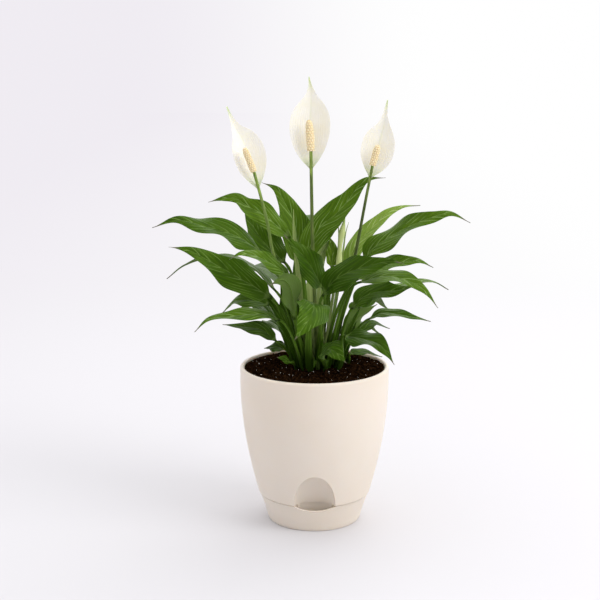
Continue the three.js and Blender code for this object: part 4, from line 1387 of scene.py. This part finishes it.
@dataclass
class Pot:
    """The tapered pot with its rounded lip and its arched watering niche."""

    rim_height: float = 160
    rim_radius: float = 75
    lip: float = 4
    wall: float = 3
    seam_height: float = 29
    seam_radius: float = 56.8
    flare_height: float = 115
    flare_power: float = 1.85
    floor_height: float = 32
    floor_thickness: float = 3
    floor_hole: float = 20.3
    skirt_radius: float = 50
    skirt_wall: float = 2.2
    skirt_depth: float = 4
    niche_half_width: float = 21
    niche_rise: float = 34.5
    niche_depth: float = 13
    niche_wall: float = 2.5
    edge: float = 0.35
    chute_radius: float = 47.4
    chute_reach: float = 52.8
    chute_foot: float = 13
    chute_gap: float = 1.2
    steps: int = 180

    def radius(self, height: float) -> float:
        """Returns the outer radius at `height`."""
        down = max(0, 1 - (height - self.seam_height) / self.flare_height)
        return self.rim_radius - (self.rim_radius - self.seam_radius) * down**self.flare_power

    def outside(self) -> list[tuple[float, float]]:
        """Returns the outer wall's profile, from its rounded lower edge up to the lip."""
        low = self.seam_height + self.edge
        heights = np.linspace(low + 0.2, self.rim_height - self.lip / 2 - 1, 40)
        corner = (self.radius(low) - self.edge, low)
        return rounded(corner, -90, 0, self.edge) + [(self.radius(z), z) for z in heights]

    def niche(self, grow: float, foot: float) -> bmesh.types.BMesh:
        """Returns the scoop that the niche leaves in the wall.

        Args:
            grow: how far it is grown outwards.
            foot: the height down to which it reaches.
        """
        skin = Skin()
        turn = np.linspace(0, math.pi, 49)
        tilts = [(0, foot)]
        tilts += [
            (math.radians(tilt), self.seam_height + (self.niche_rise + grow) * math.sin(math.radians(tilt)))
            for tilt in np.linspace(0, 84, 33)
        ]
        rings = []
        for tilt, height in tilts:
            width = self.niche_half_width * math.cos(tilt) + grow
            depth = self.niche_depth * math.cos(tilt) ** 1.2 + 0.8 + grow
            wall = self.radius(max(height, self.seam_height))
            back = columns(width * np.cos(turn), depth * np.sin(turn) - wall + 1, height)
            front = np.array([(side * width, -wall - 10, height) for side in (-1, 0, 1)])
            rings.append(np.vstack([back, front]))
        skin.loft(np.array(rings))
        shape = bmesh.new()
        points = [shape.verts.new(point) for point in np.vstack(skin.points)]
        for face in skin.faces:
            shape.faces.new([points[k] for k in face])
        bmesh.ops.recalc_face_normals(shape, faces=shape.faces)
        return shape

    def build(self) -> bpy.types.Object:
        """Makes the pot in place of its node.

        Returns:
            The piece.
        """
        floor_top = self.floor_height + self.floor_thickness
        lip = self.lip / 2
        inside = [(self.radius(z) - self.wall, z) for z in np.linspace(110, 42, 14)]
        profile = [
            (self.floor_hole, self.floor_height),
            (self.skirt_radius - self.skirt_wall, self.floor_height),
            (self.skirt_radius - self.skirt_wall, self.seam_height - self.skirt_depth),
            (self.skirt_radius, self.seam_height - self.skirt_depth),
            (self.skirt_radius + 0.8, self.seam_height),
            *self.outside(),
            *rounded((self.rim_radius - lip, self.rim_height - lip), 0, 180, lip),
            *inside,
            (self.radius(floor_top) - self.wall - 2, floor_top),
            (self.floor_hole, floor_top),
        ]
        core = [(0, self.seam_height), *self.outside(), (0, self.rim_height - self.lip)]
        below = self.seam_height - self.skirt_depth - 6
        wall = shaped(self.niche(self.niche_wall, below), "niche wall")
        wall = cut(wall, shaped(turned(core, self.steps), "core"), "INTERSECT")
        body = cut(shaped(turned(profile, self.steps, closed=True), "pot_moulded"), wall, "UNION")
        body = cut(body, shaped(self.niche(0, below), "niche"), "DIFFERENCE")
        body = cut(body, self.chute(), "UNION")
        return dressed(body, PotFinish(), ["pot"], 32)

    def chute(self) -> bpy.types.Mesh:
        """Returns the wall that guides the water down behind the tray's spout, set back from the niche."""
        top = self.seam_height + 0.6
        low = self.chute_foot
        high = self.seam_height - 1
        reach = self.chute_reach
        room = [(0, low), (self.chute_radius, low), (reach, high), (reach, top), (0, top)]
        wall = shaped(self.niche(self.chute_gap + self.niche_wall - 0.5, low - 1), "chute")
        wall = cut(wall, shaped(turned(room, self.steps), "room"), "INTERSECT")
        return cut(wall, shaped(self.niche(self.chute_gap, low - 2), "hollow"), "DIFFERENCE")


@dataclass
class WaterTray:
    """The water tray, whose rim dips to a spout in front of the niche."""

    radius: float = 47.2
    rim_radius: float = 56.3
    flare_power: float = 1.2
    wall: float = 2.6
    corner: float = 1.6
    edge: float = 0.5
    rim_height: float = 28.35
    spout_half_width: float = 21
    spout_dip: float = 4.4
    steps: int = 240

    def outside(self, height: float) -> float:
        """Returns the outer radius at `height`."""
        return self.radius + (self.rim_radius - self.radius) * max(0, height / 29) ** self.flare_power

    def build(self) -> bpy.types.Object:
        """Makes the tray in place of its node.

        Returns:
            The piece.
        """
        edge = self.edge
        top = self.rim_height
        rim = self.outside(top)
        profile = [
            (0, 0),
            (self.radius - self.corner - 1, 0),
            *rounded((self.radius - self.corner, self.corner), -80, -5, self.corner),
            *[(self.outside(z), z) for z in np.linspace(self.corner + 0.6, top - edge, 14)],
            *rounded((rim - edge, top - edge), 10, 90, edge),
            *rounded((rim - self.wall + edge, top - edge), 90, 170, edge),
            *[(self.outside(z) - self.wall, z) for z in np.linspace(top - edge - 0.4, 6, 10)],
            (self.radius - 5, self.wall),
            (0, self.wall),
        ]
        shape = turned(profile, self.steps)
        for point in shape.verts:
            x, y, height = point.co
            share = min(1, abs(x) / self.spout_half_width)
            if y < 0 and share < 1 and height > self.wall:
                dip = self.spout_dip * (1 - share**2.4) * smoothstep(np.array(height), 12, top)
                inwards = (self.outside(height - dip) - self.outside(height)) / math.hypot(x, y)
                point.co = (x * (1 + inwards), y * (1 + inwards), height - dip)
        return dressed(shaped(shape, "water_tray_moulded"), PotFinish(), ["water_tray"], 50)


@dataclass
class Soil:
    """The loose soil on the root ball, with crumbs and white perlite on it."""

    height: float = SOIL_HEIGHT
    mound: float = 1.6
    relief: float = 0.7
    rim: float = 75
    reach: float = 70.6
    depth: float = 14
    rings: int = 64
    around: int = 160
    crumbs: int = 420
    crumb_sizes: tuple[float, float] = (0.7, 2.3)
    perlite: int = 120
    perlite_sizes: tuple[float, float] = (0.22, 0.72)
    seed: int = 7

    def level(self, x: float, y: float) -> float:
        """Returns the height of the soil at a place, without its crumbs."""
        out = math.hypot(x, y) / self.rim
        ripple = math.sin(x * 0.31 + 1.3) * math.cos(y * 0.27) + 0.6 * math.sin((x + 2 * y) * 0.17)
        return self.height + self.mound * (1 - out * out) + self.relief * ripple

    def surface(self, x: float, y: float) -> float:
        """Returns the height of the soil at a place, crumbs and all."""
        coarse = noise.fractal(Vector((x, y, 0)) * 0.16, 1, 2, 4)
        fine = noise.noise(Vector((x, y, 7)) * 0.9)
        inside = 1 - smoothstep(np.array(math.hypot(x, y)), self.reach - 4, self.reach)
        return self.level(x, y) + (1.1 * coarse + 0.5 * fine) * (0.3 + 0.7 * float(inside))

    def build(self) -> None:
        """Makes the soil in place of its node, and what lies on it."""
        shape = bmesh.new()
        rows = [[shape.verts.new((0, 0, self.surface(0, 0)))] * self.around]
        for row in range(1, self.rings + 1):
            radius = self.reach * (row / self.rings) ** 0.8
            places = [(radius * math.cos(a), radius * math.sin(a)) for a in turns_round(self.around)]
            rows.append([shape.verts.new((x, y, self.surface(x, y))) for x, y in places])
        bottom = self.height - self.depth
        rows += [circle(shape, radius, bottom, self.around) for radius in (self.reach, 0)]
        skinned(shape, rows)
        dressed(shaped(shape, "soil_loose"), PeatFinish(), ["soil"], 60)
        crumbs = PeatFinish("peat crumbs", (0.004, 0.002, 0.001), (0.042, 0.02, 0.009))
        self.scatter("peat_crumbs", self.crumbs, self.crumb_sizes, crumbs)
        self.scatter("perlite_grains", self.perlite, self.perlite_sizes, PerliteFinish())

    def scatter(self, name: str, count: int, sizes: tuple[float, float], finish: Finish) -> None:
        """Lays irregular grains on the soil.

        Args:
            name: the piece that they make.
            count: how many there are.
            sizes: the smallest and the largest radius.
            finish: what they are dressed in.
        """
        rng = np.random.default_rng(self.seed + count)
        skin = Skin()
        ball = bmesh.new()
        bmesh.ops.create_icosphere(ball, subdivisions=2, radius=1)
        points = np.array([tuple(point.co) for point in ball.verts])
        faces = [tuple(point.index for point in face.verts) for face in ball.faces]
        ball.free()
        for _ in range(count):
            out = (self.reach - 2) * math.sqrt(rng.uniform(0.02, 1))
            turn = rng.uniform(0, 2 * math.pi)
            x, y = out * math.cos(turn), out * math.sin(turn)
            size = sizes[0] + (sizes[1] - sizes[0]) * rng.uniform(0, 1) ** 2.5
            squeeze = rng.uniform(0.65, 1.3, 3)
            shift = rng.uniform(0, 40, 3)
            knobs = np.array([noise.noise(Vector(point * 1.7 + shift)) for point in points])
            grain = points * (1 + 0.45 * knobs[:, None]) * squeeze * size
            skin.add(grain + (x, y, self.surface(x, y) + 0.25 * size), faces)
        skin.piece(name, finish, "peat", crease=50)


# ---------------------------------------------------------------- studio


@dataclass
class Studio:
    """The floor, the lights and the camera of the photograph."""

    camera_place: Point = (-14.6, -1236, 476)
    camera_pitch: float = 11.4
    focal_pixels: float = 1259
    picture_pixels: float = 600
    sensor_width: float = 36
    floor_size: float = 16000
    light_aim: Point = (0, 0, 220)
    sky: float = 0.8
    sky_above: float = 0.75
    sky_behind: float = 0.25

    def build(self) -> None:
        """Sets up the studio."""
        bpy.context.scene.view_settings.view_transform = "Standard"
        self.build_camera()
        self.build_floor()
        self.build_light("key", (1500, -800, 1300), 1100, 17)
        self.build_light("back", (600, 1300, 1500), 1500, 9)
        bpy.context.scene.world = self.surroundings()

    def surroundings(self) -> bpy.types.World:
        """Returns the studio around the plant: a pale backdrop, with more light from above and behind; the
        camera sees it with painted light that makes it paler on the right.
        """
        world = bpy.data.worlds.new("studio")
        world.use_nodes = True
        world.node_tree.nodes.clear()
        graph = Graph.inside(world.node_tree)
        around = graph.add("ShaderNodeTexCoord", {}, {}).value("Generated")
        way = graph.add("ShaderNodeSeparateXYZ", {}, {0: around})
        rise = way.value(2).maths("MAXIMUM", way.value(2), 0)
        strength = self.sky + rise * self.sky_above + way.value(1) * self.sky_behind
        light = graph.add("ShaderNodeBackground", {}, {"Color": BACKDROP, "Strength": strength})
        # Painted light: the backdrop seen by the camera is paler on the right.
        seen = graph.add("ShaderNodeBackground", {}, {"Color": backdrop(graph, around, *AIR_SPAN)})
        camera = graph.add("ShaderNodeLightPath", {}, {}).value("Is Camera Ray")
        mixed = graph.add("ShaderNodeMixShader", {}, {0: camera, 1: light.value(0), 2: seen.value(0)})
        graph.add("ShaderNodeOutputWorld", {}, {"Surface": mixed.value(0)})
        return world

    def build_camera(self) -> None:
        """Places the camera at the photograph's viewing angle."""
        data = bpy.data.cameras.new("camera")
        data.sensor_width = self.sensor_width
        data.lens = self.sensor_width * self.focal_pixels / self.picture_pixels
        camera = linked("camera", data)
        camera.location = Vector(self.camera_place) * MM
        camera.rotation_euler = (math.radians(90 - self.camera_pitch), 0, 0)
        bpy.context.scene.camera = camera

    def build_floor(self) -> None:
        """Lays the plain pale floor."""
        mesh = bpy.data.meshes.new("floor")
        reach = self.floor_size / 2 * MM
        corners = [(-reach, -reach, 0), (reach, -reach, 0), (reach, reach, 0), (-reach, reach, 0)]
        mesh.from_pydata(corners, [], [(0, 1, 2, 3)])
        mesh.materials.append(FloorFinish().material)
        floor = linked("floor", mesh)

    def build_light(self, name: str, place: Point, size: float, power: float) -> None:
        """Hangs a square soft light that points at the plant.

        Args:
            name: the light's name.
            place: where it hangs.
            size: the length of its side.
            power: its power in watts.
        """
        data = bpy.data.lights.new(name, "AREA")
        data.size = size * MM
        data.energy = power
        light = linked(name, data)
        light.location = Vector(place) * MM
        aim = Vector(self.light_aim) * MM - light.location
        light.rotation_euler = aim.to_track_quat("-Z", "Y").to_euler()


def dress_nodes(nodes: dict[str, bpy.types.Object]) -> None:
    """Gives the nodes that stay their finish."""
    finishes = {"wick_foot": PotFinish(), "root_ball": PeatFinish(), "wick_soil": PeatFinish()}
    for name, finish in finishes.items():
        mesh = nodes[name].data
        mesh.materials.clear()
        mesh.materials.append(finish.material)
        log.info("%s: dressed", name)


def main() -> None:
    """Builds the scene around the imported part."""
    logging.basicConfig(level=logging.INFO, format="%(message)s")
    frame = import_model()
    Studio().build()
    for leaf in LEAVES:
        leaf.build()
    grow_shoots()
    for flower in FLOWERS:
        flower.build()
    BUD.build("bud_right_grown", BudFinish(), "bud", "bud_right")
    Pot().build()
    WaterTray().build()
    Soil().build()
    dress_nodes(frame["nodes"])


if __name__ == "__main__":
    main()
